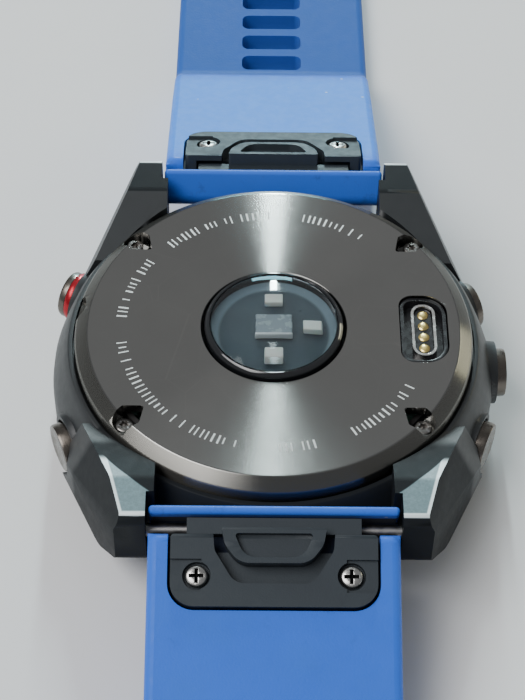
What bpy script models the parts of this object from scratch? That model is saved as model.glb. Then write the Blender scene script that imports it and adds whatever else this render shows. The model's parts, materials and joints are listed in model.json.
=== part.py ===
"""Golf GPS watch lying face down: case, five buttons, optical sensor, and a quick-release two-part strap.

Metres, +Z up.  The origin is the centre of the crystal, on the plane that the bezel rests on.
+Y is the twelve o'clock side (long strap half), -Y the six o'clock side (buckle half).
"""
import math

import bmesh
import bpy
from mathutils import Matrix, Vector

MM = 0.001
GAP = 0.3 * MM

# Case
CASE_RADIUS = 25.0 * MM
CASE_BOTTOM = 3.8 * MM
CASE_RIM_RADIUS = 23.0 * MM
CASE_RIM_TOP = 13.9 * MM
CAVITY_RADIUS = 20.9 * MM
SHELF_RADIUS = 18.6 * MM
SHELF_BOTTOM = 9.8 * MM
SHELF_TOP = 13.0 * MM
SEAT_RADIUS = 22.5 * MM
LUG_INNER_X = 13.3 * MM
LUG_TIP_Y = 26.4 * MM
LUG_TOP = 16.3 * MM
STRAP_GAP_Y = 22.9 * MM

# Rear cover and its screws
COVER_RADIUS = 22.2 * MM
COVER_FLAT_RADIUS = 20.7 * MM
COVER_EDGE_TOP = 14.9 * MM
COVER_TOP = 16.1 * MM
COVER_INSIDE = 15.0 * MM
COVER_BOTTOM = 13.4 * MM
SCREW_X = 16.04 * MM
SCREW_Y = 13.17 * MM
SCREW_POCKET_FLOOR = 14.0 * MM

# Optical sensor
SENSOR_RADIUS = 7.75 * MM
SENSOR_WALL = 0.6 * MM
SENSOR_TOP = 17.5 * MM

# Charging port
PORT_X = 16.7 * MM
PORT_Y = -0.2 * MM
PORT_WIDTH = 5.4 * MM
PORT_LENGTH = 9.8 * MM
CONTACT_PITCH = 1.6 * MM

# Buttons: height of their axes, cap radius, travel
BUTTON_Z = 7.5 * MM
BUTTON_RADIUS = 2.75 * MM
BUTTON_GUARD_RADIUS = 3.6 * MM
BUTTON_TRAVEL = 0.7 * MM
STEM_RADIUS = 0.9 * MM
STEM_END = 20.3 * MM
CAP_PROUD = 1.2 * MM

# Strap hinge bars and strap sections
BAR_Y = 25.1 * MM
BAR_Z = 12.5 * MM
BAR_RADIUS = 0.7 * MM
STRAP_HALF_WIDTH = 13.0 * MM
STRAP_DROOP = math.radians(21)
STRAP_TOP = 3.2 * MM
STRAP_UNDER = 1.95 * MM
STRAP_THIN = 3.0 * MM
LIP_INNER = 1.0 * MM
LIP_TOP = 3.0 * MM
THICK_END = 54.0 * MM
LONG_REACH = 152.0 * MM
SHORT_REST = 1.8 * MM
BUCKLE_Y = 108.0 * MM
BUCKLE_Z = 3.3 * MM
SLOT_COUNT = 19
SLOT_FIRST = 58.6 * MM
SLOT_PITCH = 4.2 * MM

# Latch plates, in strap coordinates: across, along the strap from the bar, and above the bar
PLATE_HALF_WIDTH = 10.6 * MM
PLATE_START = 1.3 * MM
PLATE_END = 8.8 * MM
PLATE_UNDER = 1.6 * MM
PLATE_TOP = 3.7 * MM
PLATE_SCREW_X = 7.9 * MM
PLATE_SCREW_ALONG = 5.6 * MM

for leftover in list(bpy.data.objects):
    bpy.data.objects.remove(leftover, do_unlink=True)

watch = bpy.data.collections.new("golf_gps_watch")
bpy.context.scene.collection.children.link(watch)
cutters = bpy.data.collections.new("cutters")
bpy.context.scene.collection.children.link(cutters)


# ---------------------------------------------------------------- tools

def finish_mesh(mesh):
    """Shade a mesh smooth except across its real edges."""
    mesh.shade_smooth()
    mesh.set_sharp_from_angle(angle=math.radians(35))
    return mesh


def add(name, mesh, collection=watch):
    """Put a mesh into a collection as a named object."""
    made = bpy.data.objects.new(name, mesh)
    collection.objects.link(made)
    return made


def evaluated_mesh(source):
    """The mesh of an object with its modifiers or its curve bevel worked out, welded."""
    bpy.context.view_layer.update()
    graph = bpy.context.evaluated_depsgraph_get()
    mesh = bpy.data.meshes.new_from_object(source.evaluated_get(graph))
    shape = bmesh.new()
    shape.from_mesh(mesh)
    bmesh.ops.remove_doubles(shape, verts=shape.verts, dist=0.001 * MM)
    bmesh.ops.recalc_face_normals(shape, faces=shape.faces)
    shape.to_mesh(mesh)
    shape.free()
    return mesh


def baked(source):
    """Replace an object's mesh by its evaluated one and drop its modifiers."""
    mesh = evaluated_mesh(source)
    source.modifiers.clear()
    source.data = finish_mesh(mesh)
    return source


def turned(name, profile, steps=24, ring=False, collection=watch):
    """Turn a profile of (radius, height) about Z; it runs down its outer side."""
    mesh = bpy.data.meshes.new(name)
    points = [(radius, 0.0, height) for radius, height in profile]
    links = [(i, i + 1) for i in range(len(points) - 1)]
    if ring:
        links.append((len(points) - 1, 0))
    mesh.from_pydata(points, links, [])
    made = add(name, mesh, collection)
    screw = made.modifiers.new("Turn", "SCREW")
    screw.steps = steps
    screw.render_steps = steps
    screw.use_merge_vertices = True
    screw.merge_threshold = 0.01 * MM
    return baked(made)


def rounded(corners):
    """Outline through corners of (u, v, radius), each rounded by an arc."""
    outline = []
    count = len(corners)
    for i, (u, v, radius) in enumerate(corners):
        corner = Vector((u, v))
        before = (Vector(corners[i - 1][:2]) - corner).normalized()
        after = (Vector(corners[(i + 1) % count][:2]) - corner).normalized()
        if radius <= 0:
            outline.append(corner)
            continue
        opening = before.angle(after)
        reach = radius / math.tan(opening / 2)
        centre = corner + (before + after).normalized() * radius / math.sin(opening / 2)
        start = corner + before * reach - centre
        turn = (math.pi - opening) * (1 if before.cross(after) < 0 else -1)
        steps = max(2, round(abs(turn) / math.radians(22)))
        for k in range(steps + 1):
            outline.append(centre + Matrix.Rotation(turn * k / steps, 2) @ start)
    return outline


PLANES = {
    "XY": Matrix.Identity(4),
    "YZ": Matrix(((0, 0, 1, 0), (1, 0, 0, 0), (0, 1, 0, 0), (0, 0, 0, 1))),
    "XZ": Matrix(((1, 0, 0, 0), (0, 0, -1, 0), (0, 1, 0, 0), (0, 0, 0, 1))),
}


def slab(name, outline, low, high, plane="XY", collection=watch):
    """Flat outline in a plane, extruded from low to high along that plane's normal."""
    curve = bpy.data.curves.new(name, "CURVE")
    curve.dimensions = "2D"
    curve.fill_mode = "BOTH"
    curve.extrude = (high - low) / 2
    spline = curve.splines.new("POLY")
    spline.points.add(len(outline) - 1)
    for point, place in zip(spline.points, outline):
        point.co = (place[0], place[1], 0, 1)
    spline.use_cyclic_u = True
    guide = add(name + "_outline", curve, collection)
    mesh = evaluated_mesh(guide)
    bpy.data.objects.remove(guide, do_unlink=True)
    mesh.transform(Matrix.Translation((0, 0, (low + high) / 2)))
    mesh.transform(PLANES[plane])
    return add(name, finish_mesh(mesh), collection)


def stadium(length, width):
    """Outline of a slot along Y with round ends."""
    half = length / 2
    side = width / 2
    end = side * 0.999
    return rounded([(-side, -half, end), (side, -half, end), (side, half, end), (-side, half, end)])


def box(name, size, centre, edge=0.0, collection=watch):
    """Box about a centre, its edges rounded by a bevel if edge is given."""
    mesh = bpy.data.meshes.new(name)
    shape = bmesh.new()
    scale = Matrix.Diagonal((size[0], size[1], size[2], 1))
    bmesh.ops.create_cube(shape, size=1.0, matrix=scale)
    shape.to_mesh(mesh)
    shape.free()
    made = add(name, mesh, collection)
    made.location = centre
    if edge > 0:
        bevel = made.modifiers.new("Edges", "BEVEL")
        bevel.width = edge
        bevel.segments = 2
    return made


def rod(name, radius, low, high, axis="Z", at=(0, 0, 0), sides=20, collection=watch):
    """Cylinder along an axis from low to high, through a point."""
    mesh = bpy.data.meshes.new(name)
    shape = bmesh.new()
    bmesh.ops.create_cone(shape, cap_ends=True, segments=sides, radius1=radius, radius2=radius,
                          depth=high - low, matrix=Matrix.Translation((0, 0, (low + high) / 2)))
    shape.to_mesh(mesh)
    shape.free()
    made = add(name, finish_mesh(mesh), collection)
    made.rotation_euler = {"X": (0, math.pi / 2, 0), "Y": (-math.pi / 2, 0, 0), "Z": (0, 0, 0)}[axis]
    made.location = at
    return made


def combine(target, tool, operation="DIFFERENCE"):
    """Boolean a tool into a target; the tool stays as a hidden cutter."""
    step = target.modifiers.new(operation.title(), "BOOLEAN")
    step.operation = operation
    step.solver = "EXACT"
    step.object = tool
    tool.hide_render = True
    tool.display_type = "WIRE"
    return target


def mirrored(target, x=True, y=True):
    """Repeat an object on the other sides of the case's middle planes."""
    step = target.modifiers.new("Mirror", "MIRROR")
    step.use_axis = (x, y, False)
    step.merge_threshold = 0.001 * MM
    centre = bpy.data.objects.get("case_centre")
    step.mirror_object = centre
    return target


def trim(target, point, normal):
    """Cut away everything in front of a plane."""
    size = 60 * MM
    direction = Vector(normal).normalized()
    tool = box(target.name + "_trim", (size, size, size), (0, 0, 0), collection=cutters)
    tool.rotation_mode = "QUATERNION"
    tool.rotation_quaternion = direction.to_track_quat("Z", "Y")
    tool.location = Vector(point) + direction * size / 2
    return combine(target, tool)


def paint(target, colour, roughness, metallic=0.0, alpha=1.0):
    """Give an object its own Principled material."""
    material = bpy.data.materials.new(target.name)
    material.use_nodes = True
    shader = material.node_tree.nodes["Principled BSDF"]
    shader.inputs["Base Color"].default_value = (*colour, 1.0)
    shader.inputs["Roughness"].default_value = roughness
    shader.inputs["Metallic"].default_value = metallic
    shader.inputs["Alpha"].default_value = alpha
    target.data.materials.clear()
    target.data.materials.append(material)
    return target


BLACK = (0.028, 0.030, 0.033)
STEEL = (0.42, 0.40, 0.38)
BRONZE = (0.20, 0.18, 0.165)
BLUE = (0.055, 0.145, 0.42)
BOARD = (0.02, 0.12, 0.07)
GOLD = (0.75, 0.58, 0.22)

centre_mark = bpy.data.objects.new("case_centre", None)
watch.objects.link(centre_mark)


# ---------------------------------------------------------------- case

BUTTONS = {
    # angle about Z in degrees, radius of the cap's face, radius where its guard ends
    "button_light": (25.0, 26.2 * MM, 25.0 * MM),
    "button_up": (1.5, 26.6 * MM, 25.4 * MM),
    "button_down": (-23.0, 26.1 * MM, 24.9 * MM),
    "button_start": (153.0, 27.1 * MM, 25.2 * MM),
    "button_back": (204.5, 26.2 * MM, 25.0 * MM),
}


def radial(piece, angle):
    """Point an object's own Z axis outward from the case at a button's height."""
    piece.rotation_euler = (0, math.pi / 2, math.radians(angle))
    piece.location = (0, 0, BUTTON_Z)
    return piece


def lug_form():
    """Four lugs: a side profile extruded across, its outer flank cut by two planes."""
    side = rounded([(12 * MM, 4.4 * MM, 0), (21.5 * MM, 4.4 * MM, 3 * MM), (LUG_TIP_Y, 9.0 * MM, 1.5 * MM),
                    (LUG_TIP_Y, 15.3 * MM, 0.5 * MM), (25.8 * MM, LUG_TOP, 0.5 * MM),
                    (21 * MM, LUG_TOP, 3 * MM), (12 * MM, 13.6 * MM, 0)])
    lug = slab("lug_form", side, LUG_INNER_X - 0.8 * MM, 23.5 * MM, "YZ", cutters)
    trim(lug, (16.6 * MM, LUG_TIP_Y, 9 * MM), (0.904, 0.428, 0))
    trim(lug, (15.9 * MM, 25.8 * MM, LUG_TOP), (0.89, 0.233, 0.393))
    return mirrored(lug)


def case_body():
    """Polymer middle case with lugs and button guards, hollow for the works."""
    side = [(0, CASE_RIM_TOP), (CASE_RIM_RADIUS, CASE_RIM_TOP), (23.5 * MM, 13.1 * MM),
            (24.8 * MM, 9.6 * MM),
            (CASE_RADIUS, 8.2 * MM), (CASE_RADIUS, 5.6 * MM), (24.5 * MM, CASE_BOTTOM), (0, CASE_BOTTOM)]
    body = turned("case_body", side, 56)
    combine(body, lug_form(), "UNION")
    for name, (angle, _, guard_end) in BUTTONS.items():
        guard = rod(name + "_guard", BUTTON_GUARD_RADIUS, 17 * MM, guard_end, collection=cutters)
        combine(body, radial(guard, angle), "UNION")
    hollow = [(0, 22 * MM), (SEAT_RADIUS, 22 * MM), (SEAT_RADIUS, SHELF_TOP), (SHELF_RADIUS, SHELF_TOP),
              (SHELF_RADIUS, SHELF_BOTTOM), (CAVITY_RADIUS, SHELF_BOTTOM), (CAVITY_RADIUS, 3 * MM),
              (0, 3 * MM)]
    combine(body, turned("case_hollow", hollow, 56, collection=cutters))
    room = 12 * MM
    gap_size = (2 * LUG_INNER_X, room, 20 * MM)
    strap_room = box("strap_room", gap_size, (0, STRAP_GAP_Y + room / 2, 12.6 * MM), collection=cutters)
    combine(body, mirrored(strap_room, x=False))
    end = 14.9 * MM
    bar_bore = rod("bar_bore", BAR_RADIUS + 0.25 * MM, -end, end, "X", (0, BAR_Y, BAR_Z), 16, cutters)
    combine(body, mirrored(bar_bore, x=False))
    screw_bore = rod("screw_bore", 0.75 * MM, 10.3 * MM, 13.6 * MM, "Z", (SCREW_X, SCREW_Y, 0), 12, cutters)
    combine(body, mirrored(screw_bore))
    for name, (angle, face, guard_end) in BUTTONS.items():
        floor = cap_base(face, guard_end) - BUTTON_TRAVEL - 0.4 * MM
        bore = rod(name + "_bore", BUTTON_RADIUS + GAP, floor, face + 3 * MM, sides=24, collection=cutters)
        combine(body, radial(bore, angle))
        stem_bore = rod(name + "_stem_bore", STEM_RADIUS + GAP, 18 * MM, floor + 1 * MM, sides=14,
                        collection=cutters)
        combine(body, radial(stem_bore, angle))
    paint(body, BLACK, 0.55)


def cap_base(face, guard_end):
    """Radius of a button cap's inner face: it sits 0.7 mm down inside its guard."""
    return guard_end - 0.7 * MM


def bezel_and_crystal():
    """Metal front ring, the crystal in it, its gasket and the chapter ring."""
    ring = [(19.2 * MM, 3.5 * MM), (24.4 * MM, 3.5 * MM), (24.4 * MM, 2.0 * MM), (23.4 * MM, 0.9 * MM),
            (20.6 * MM, 0), (18.8 * MM, 0), (18.0 * MM, 0.6 * MM), (18.0 * MM, 2.2 * MM),
            (19.2 * MM, 2.2 * MM)]
    paint(turned("bezel", ring, 56, ring=True), STEEL, 0.3, 1.0)
    glass = [(0, 2.1 * MM), (17.7 * MM, 2.1 * MM), (17.7 * MM, 0.6 * MM), (17.3 * MM, 0.3 * MM),
             (0, 0.3 * MM)]
    paint(turned("crystal", glass, 48), (0.02, 0.02, 0.025), 0.05, alpha=0.35)
    seal = [(16.6 * MM, 2.9 * MM), (18.9 * MM, 2.9 * MM), (18.9 * MM, 2.4 * MM), (16.6 * MM, 2.4 * MM)]
    paint(turned("crystal_gasket", seal, 32, ring=True), BLACK, 0.8)
    scale = [(15.8 * MM, 4.0 * MM), (18.9 * MM, 4.0 * MM), (18.9 * MM, 3.2 * MM), (16.3 * MM, 3.2 * MM)]
    paint(turned("chapter_ring", scale, 32, ring=True), BLACK, 0.5)


def works():
    """Display, inner frame, board and the parts on it, battery and rear gasket."""
    paint(rod("display_panel", 15.4 * MM, 2.5 * MM, 3.9 * MM, sides=32), (0.03, 0.04, 0.05), 0.15)
    frame = [(0, 5.1 * MM), (19.3 * MM, 5.1 * MM), (19.3 * MM, 6.0 * MM), (20.5 * MM, 6.0 * MM),
             (20.5 * MM, 4.3 * MM), (0, 4.3 * MM)]
    paint(turned("inner_frame", frame, 32), BLACK, 0.6)
    paint(rod("main_board", 18.9 * MM, 5.4 * MM, 6.2 * MM, sides=32), BOARD, 0.45)
    part_floor = 6.5 * MM
    can = box("shield_can", (13 * MM, 9 * MM, 1.3 * MM), (-2 * MM, -3 * MM, part_floor + 0.65 * MM))
    paint(can, (0.6, 0.6, 0.6), 0.35, 1.0)
    antenna = box("gps_antenna", (7 * MM, 4 * MM, 2.2 * MM), (4.5 * MM, 13.2 * MM, part_floor + 1.1 * MM))
    paint(antenna, (0.72, 0.68, 0.6), 0.5)
    motor = rod("vibration_motor", 3.0 * MM, part_floor, 9.3 * MM, at=(-4.8 * MM, 13.7 * MM, 0))
    paint(motor, (0.6, 0.6, 0.6), 0.3, 1.0)
    buzzer = rod("buzzer", 3.0 * MM, part_floor, 8.0 * MM, at=(5.5 * MM, -13.5 * MM, 0))
    paint(buzzer, GOLD, 0.35, 1.0)
    cell = box("battery", (24 * MM, 20 * MM, 4.0 * MM), (0, 0, 10.2 * MM), edge=0.8 * MM)
    paint(cell, (0.55, 0.56, 0.58), 0.4, 0.6)
    seal = [(18.75 * MM, 13.8 * MM), (19.3 * MM, 13.8 * MM), (19.3 * MM, 13.3 * MM),
            (18.75 * MM, 13.3 * MM)]
    paint(turned("rear_gasket", seal, 32, ring=True), (0.25, 0.05, 0.04), 0.8)


# ---------------------------------------------------------------- back of the case

def screw_pocket():
    """Four pointed pockets in the cover's edge, each with its screw at the outer end."""
    outline = rounded([(-2.7 * MM, 0, 0.3 * MM), (-0.9 * MM, -1.5 * MM, 0.4 * MM),
                       (1.2 * MM, -1.2 * MM, 1.0 * MM),
                       (1.2 * MM, 1.2 * MM, 1.0 * MM), (-0.9 * MM, 1.5 * MM, 0.4 * MM)])
    pocket = slab("screw_pocket", outline, SCREW_POCKET_FLOOR, 18 * MM, collection=cutters)
    pocket.location = (SCREW_X, SCREW_Y, 0)
    pocket.rotation_euler.z = math.atan2(SCREW_Y, SCREW_X)
    return mirrored(pocket)


def port_outline(inset):
    """D-shaped outline of the charging port about its own centre, drawn in by inset."""
    side = PORT_WIDTH / 2 - inset
    half = PORT_LENGTH / 2 - inset
    tight = 1.6 * MM - inset
    wide = 2.6 * MM - inset
    return rounded([(-side, -half, tight), (side, -half, wide), (side, half, wide), (-side, half, tight)])


def rear_cover():
    """Steel back plate with its sensor hole, charging hole, screw pockets and vent notch."""
    section = [(SENSOR_RADIUS + GAP, COVER_TOP), (COVER_FLAT_RADIUS, COVER_TOP),
               (COVER_RADIUS, COVER_EDGE_TOP),
               (COVER_RADIUS, COVER_BOTTOM), (19.9 * MM, COVER_BOTTOM), (19.9 * MM, COVER_INSIDE),
               (SENSOR_RADIUS + GAP, COVER_INSIDE)]
    cover = turned("rear_cover", section, 56, ring=True)
    combine(cover, screw_pocket())
    bore = rod("cover_bore", 0.7 * MM, 12 * MM, 14.6 * MM, "Z", (SCREW_X, SCREW_Y, 0), 12, cutters)
    combine(cover, mirrored(bore))
    hole = slab("port_hole", port_outline(0), 14.2 * MM, 17 * MM, collection=cutters)
    hole.location = (PORT_X, PORT_Y, 0)
    combine(cover, hole)
    notch = rounded([(-23 * MM, 0.6 * MM, 0), (-21.1 * MM, 2.9 * MM, 0.4 * MM),
                     (-21.1 * MM, 4.9 * MM, 0.3 * MM),
                     (-23 * MM, 4.9 * MM, 0)])
    combine(cover, slab("vent_notch", notch, 14.2 * MM, 17 * MM, collection=cutters))
    paint(cover, (0.19, 0.18, 0.17), 0.3, 1.0)


def cover_screws():
    """Four socket-head screws that hold the cover down."""
    for number, (x, y) in enumerate([(1, 1), (-1, 1), (-1, -1), (1, -1)], start=1):
        shape = [(0, 14.95 * MM), (0.8 * MM, 14.95 * MM), (0.92 * MM, 14.8 * MM), (0.92 * MM, 14.3 * MM),
                 (0.42 * MM, 14.3 * MM), (0.42 * MM, 10.8 * MM), (0, 10.6 * MM)]
        screw = turned("rear_cover_screw_%d" % number, shape, 16)
        screw.location = (x * SCREW_X, y * SCREW_Y, 0)
        socket = rod("socket_%d" % number, 0.45 * MM, 14.55 * MM, 15.5 * MM, "Z",
                     (x * SCREW_X, y * SCREW_Y, 0), 6, cutters)
        combine(screw, socket)
        paint(screw, BRONZE, 0.35, 1.0)


def sensor():
    """Optical heart-rate sensor: ring, domed window, board, three lamps and a photodiode."""
    inner = SENSOR_RADIUS - SENSOR_WALL
    wall = [(inner, 16.7 * MM), (SENSOR_RADIUS - 0.25 * MM, 16.6 * MM), (SENSOR_RADIUS, 16.3 * MM),
            (SENSOR_RADIUS, 13.6 * MM), (inner, 13.6 * MM)]
    paint(turned("sensor_ring", wall, 40, ring=True), (0.012, 0.013, 0.015), 0.12)
    edge = inner - GAP
    dome = [(0, SENSOR_TOP), (3.0 * MM, SENSOR_TOP), (4.6 * MM, 17.35 * MM), (5.8 * MM, 17.1 * MM),
            (edge, 16.7 * MM), (edge, 16.2 * MM), (0, 16.2 * MM)]
    paint(turned("sensor_window", dome, 40), (0.03, 0.04, 0.05), 0.06, alpha=0.4)
    paint(rod("sensor_board", edge, 14.1 * MM, 14.8 * MM, sides=32), (0.02, 0.03, 0.035), 0.5)
    lamp = (2.0 * MM, 1.3 * MM, 0.8 * MM)
    height = 15.5 * MM
    places = {"sensor_led_top": (0, 3.8 * MM), "sensor_led_bottom": (0, -3.8 * MM),
              "sensor_led_side": (4.2 * MM, 0)}
    for name, (x, y) in places.items():
        paint(box(name, lamp, (x, y, height)), (0.85, 0.83, 0.75), 0.4)
    diode = box("photodiode", (4.1 * MM, 2.9 * MM, 0.8 * MM), (0, 0, height))
    paint(diode, (0.35, 0.4, 0.42), 0.2)


def charging_port():
    """Recessed charging socket: black tray, metal collar and four gold contacts."""
    tray = slab("charging_port", port_outline(GAP), 14.1 * MM, 15.75 * MM)
    tray.location = (PORT_X, PORT_Y, 0)
    recess = slab("port_recess", port_outline(GAP + 0.4 * MM), 14.6 * MM, 16.5 * MM, collection=cutters)
    recess.location = (PORT_X, PORT_Y, 0)
    combine(tray, recess)
    paint(tray, (0.015, 0.015, 0.017), 0.35)
    centre = (PORT_X + 0.05 * MM, PORT_Y + 0.35 * MM)
    collar = slab("charging_collar", stadium(7.5 * MM, 2.7 * MM), 14.9 * MM, 15.5 * MM)
    collar.location = (*centre, 0)
    core = slab("collar_core", stadium(6.7 * MM, 1.9 * MM), 14 * MM, 16 * MM, collection=cutters)
    core.location = (*centre, 0)
    combine(collar, core)
    paint(collar, (0.8, 0.8, 0.8), 0.2, 1.0)
    for number in range(4):
        along = (number - 1.5) * CONTACT_PITCH
        contact = rod("charging_contact_%d" % (number + 1), 0.6 * MM, 14.9 * MM, 15.25 * MM, "Z",
                      (centre[0], centre[1] + along, 0), 16)
        paint(contact, GOLD, 0.3, 1.0)


def buttons():
    """Five round push buttons; each slides in along its own stem."""
    for name, (angle, face, guard_end) in BUTTONS.items():
        base = cap_base(face, guard_end)
        side = [(BUTTON_RADIUS, face - 0.4 * MM), (BUTTON_RADIUS, base)]
        if name == "button_start":
            upper = face - 0.9 * MM
            lower = upper - 1.0 * MM
            side[1:1] = [(BUTTON_RADIUS, upper), (2.0 * MM, upper), (2.0 * MM, lower),
                         (BUTTON_RADIUS, lower)]
            band = [(2.3 * MM, upper - GAP), (BUTTON_RADIUS + 0.1 * MM, upper - GAP),
                    (BUTTON_RADIUS + 0.1 * MM, lower + GAP), (2.3 * MM, lower + GAP)]
            ring = turned("button_start_ring", band, 24, ring=True)
            paint(radial(ring, angle), (0.55, 0.03, 0.04), 0.35)
        profile = [(0, face), (BUTTON_RADIUS - 0.4 * MM, face)] + side
        profile += [(STEM_RADIUS, base), (STEM_RADIUS, STEM_END), (0, STEM_END)]
        paint(radial(turned(name, profile, 24), angle), BRONZE, 0.3, 1.0)


# ---------------------------------------------------------------- strap

def sloped(along, above, radius=0.0):
    """Turn strap coordinates on its drooping part into (outward, up) from the lug bar."""
    outward = along * math.cos(STRAP_DROOP) + above * math.sin(STRAP_DROOP)
    upward = above * math.cos(STRAP_DROOP) - along * math.sin(STRAP_DROOP)
    return (outward, upward, radius)


def hinge_mark(name, side):
    """Empties at a lug bar: one square to the case, one tilted along the drooping strap."""
    hinge = bpy.data.objects.new(name + "_hinge", None)
    hinge.location = (0, side * BAR_Y, BAR_Z)
    hinge.rotation_euler.z = 0 if side > 0 else math.pi
    watch.objects.link(hinge)
    slope = bpy.data.objects.new(name + "_slope", None)
    slope.rotation_euler.x = -STRAP_DROOP
    slope.parent = hinge
    watch.objects.link(slope)
    return hinge, slope


def strap_section(rest, end_corners):
    """Side profile of a strap half: lip, cradle around the bar, thick slope, thin flat run."""
    outer = LIP_INNER + 0.95 * MM
    under_flat = rest - BAR_Z
    slope = math.tan(STRAP_DROOP)
    under_start = sloped(0, -STRAP_UNDER)
    bend = under_start[0] + (under_start[1] - under_flat) / slope
    top_start = sloped(0, STRAP_TOP)
    thin_top = under_flat + STRAP_THIN
    step = THICK_END - BAR_Y
    step_top = top_start[1] - (step - top_start[0]) * slope
    corners = [sloped(-outer, -STRAP_UNDER, 1.9 * MM), (bend, under_flat, 14 * MM)]
    corners += end_corners
    if step_top - thin_top > 0.5 * MM:
        corners += [(step + 2.4 * MM, thin_top, 2.0 * MM), (step, step_top, 1.2 * MM)]
    else:
        meet = top_start[0] + (top_start[1] - thin_top) / slope
        corners += [(meet, thin_top, 20 * MM)]
    corners += [sloped(LIP_INNER, STRAP_TOP, 1.0 * MM), sloped(LIP_INNER, -LIP_INNER, 0.98 * MM),
                sloped(-LIP_INNER, -LIP_INNER, 0.98 * MM), sloped(-LIP_INNER, LIP_TOP, 0.46 * MM),
                sloped(-outer, LIP_TOP, 0.46 * MM)]
    return rounded(corners)


def strap_half(name, hinge, slope, rest, end_corners, plan):
    """A strap half cut to its outline from above, with room for its latch plate and screws."""
    strap = slab(name, strap_section(rest, end_corners), -15 * MM, 15 * MM, "YZ")
    strap.parent = hinge
    outline = slab(name + "_plan", plan, -20 * MM, 20 * MM, collection=cutters)
    outline.parent = hinge
    combine(strap, outline, "INTERSECT")
    edge = strap.modifiers.new("Edges", "BEVEL")
    edge.width = 0.5 * MM
    edge.segments = 1
    edge.limit_method = "ANGLE"
    edge.angle_limit = math.radians(60)
    side = PLATE_HALF_WIDTH + GAP
    far = PLATE_END + GAP
    seat = rounded([(-side, 0.4 * MM, 0), (side, 0.4 * MM, 0), (side, far, 2.8 * MM),
                    (-side, far, 2.8 * MM)])
    room = slab(name + "_plate_room", seat, PLATE_UNDER - GAP, 8 * MM, collection=cutters)
    room.parent = slope
    combine(strap, room)
    for x in (-PLATE_SCREW_X, PLATE_SCREW_X):
        bore = rod(name + "_screw_bore", 0.8 * MM, -0.7 * MM, 3 * MM, "Z", (x, PLATE_SCREW_ALONG, 0),
                   12, cutters)
        bore.parent = slope
        combine(strap, bore)
    return strap


def long_strap(hinge, slope):
    """Tip half of the strap, with one row of slots for the buckle's tongue."""
    reach = LONG_REACH - BAR_Y
    under = -BAR_Z
    ends = [(reach, under, 1.2 * MM), (reach, under + STRAP_THIN, 1.2 * MM)]
    tip = 12.0 * MM
    plan = rounded([(-STRAP_HALF_WIDTH, -6 * MM, 0), (STRAP_HALF_WIDTH, -6 * MM, 0),
                    (STRAP_HALF_WIDTH, 22 * MM, 0),
                    (tip, reach + 0.01 * MM, 11.5 * MM), (-tip, reach + 0.01 * MM, 11.5 * MM),
                    (-STRAP_HALF_WIDTH, 22 * MM, 0)])
    strap = strap_half("long_strap", hinge, slope, 0, ends, plan)
    slot = slab("strap_slot", rounded([(-4 * MM, -1.4 * MM, 0.8 * MM), (4 * MM, -1.4 * MM, 0.8 * MM),
                                       (4 * MM, 1.4 * MM, 0.8 * MM), (-4 * MM, 1.4 * MM, 0.8 * MM)]),
                -2 * MM, 9 * MM, collection=cutters)
    slot.location = (0, SLOT_FIRST, 0)
    row = slot.modifiers.new("Row", "ARRAY")
    row.count = SLOT_COUNT
    row.use_relative_offset = False
    row.use_constant_offset = True
    row.constant_offset_displace = (0, SLOT_PITCH, 0)
    combine(strap, slot)
    paint(strap, BLUE, 0.45)


def short_strap(hinge, slope):
    """Buckle half of the strap: its end barrel holds the buckle pin on both sides of the tongue."""
    barrel = BUCKLE_Y - BAR_Y
    axis = BUCKLE_Z - BAR_Z
    radius = 2.2 * MM
    under = SHORT_REST - BAR_Z
    ends = [(barrel - 3.6 * MM, under, 1.0 * MM), (barrel - 2.0 * MM, axis - radius, 1.0 * MM),
            (barrel + radius, axis - radius, 2.1 * MM), (barrel + radius, axis + radius, 2.1 * MM),
            (barrel - 2.0 * MM, axis + radius, 1.0 * MM), (barrel - 3.6 * MM, under + STRAP_THIN, 1.0 * MM)]
    end = 12.2 * MM
    far = barrel + 8 * MM
    plan = rounded([(-STRAP_HALF_WIDTH, -6 * MM, 0), (STRAP_HALF_WIDTH, -6 * MM, 0),
                    (STRAP_HALF_WIDTH, 22 * MM, 0),
                    (end, barrel - 5 * MM, 0), (end, far, 0), (-end, far, 0), (-end, barrel - 5 * MM, 0),
                    (-STRAP_HALF_WIDTH, 22 * MM, 0)])
    strap = strap_half("short_strap", hinge, slope, SHORT_REST, ends, plan)
    pin_bore = rod("pin_bore", 1.1 * MM, -20 * MM, 20 * MM, "X", (0, -BUCKLE_Y, BUCKLE_Z), 16, cutters)
    combine(strap, pin_bore)
    tongue_room = box("tongue_room", (7.8 * MM, 12 * MM, 12 * MM), (0, -BUCKLE_Y - 2.8 * MM, BUCKLE_Z),
                      collection=cutters)
    combine(strap, tongue_room)
    paint(strap, BLUE, 0.45)


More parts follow.
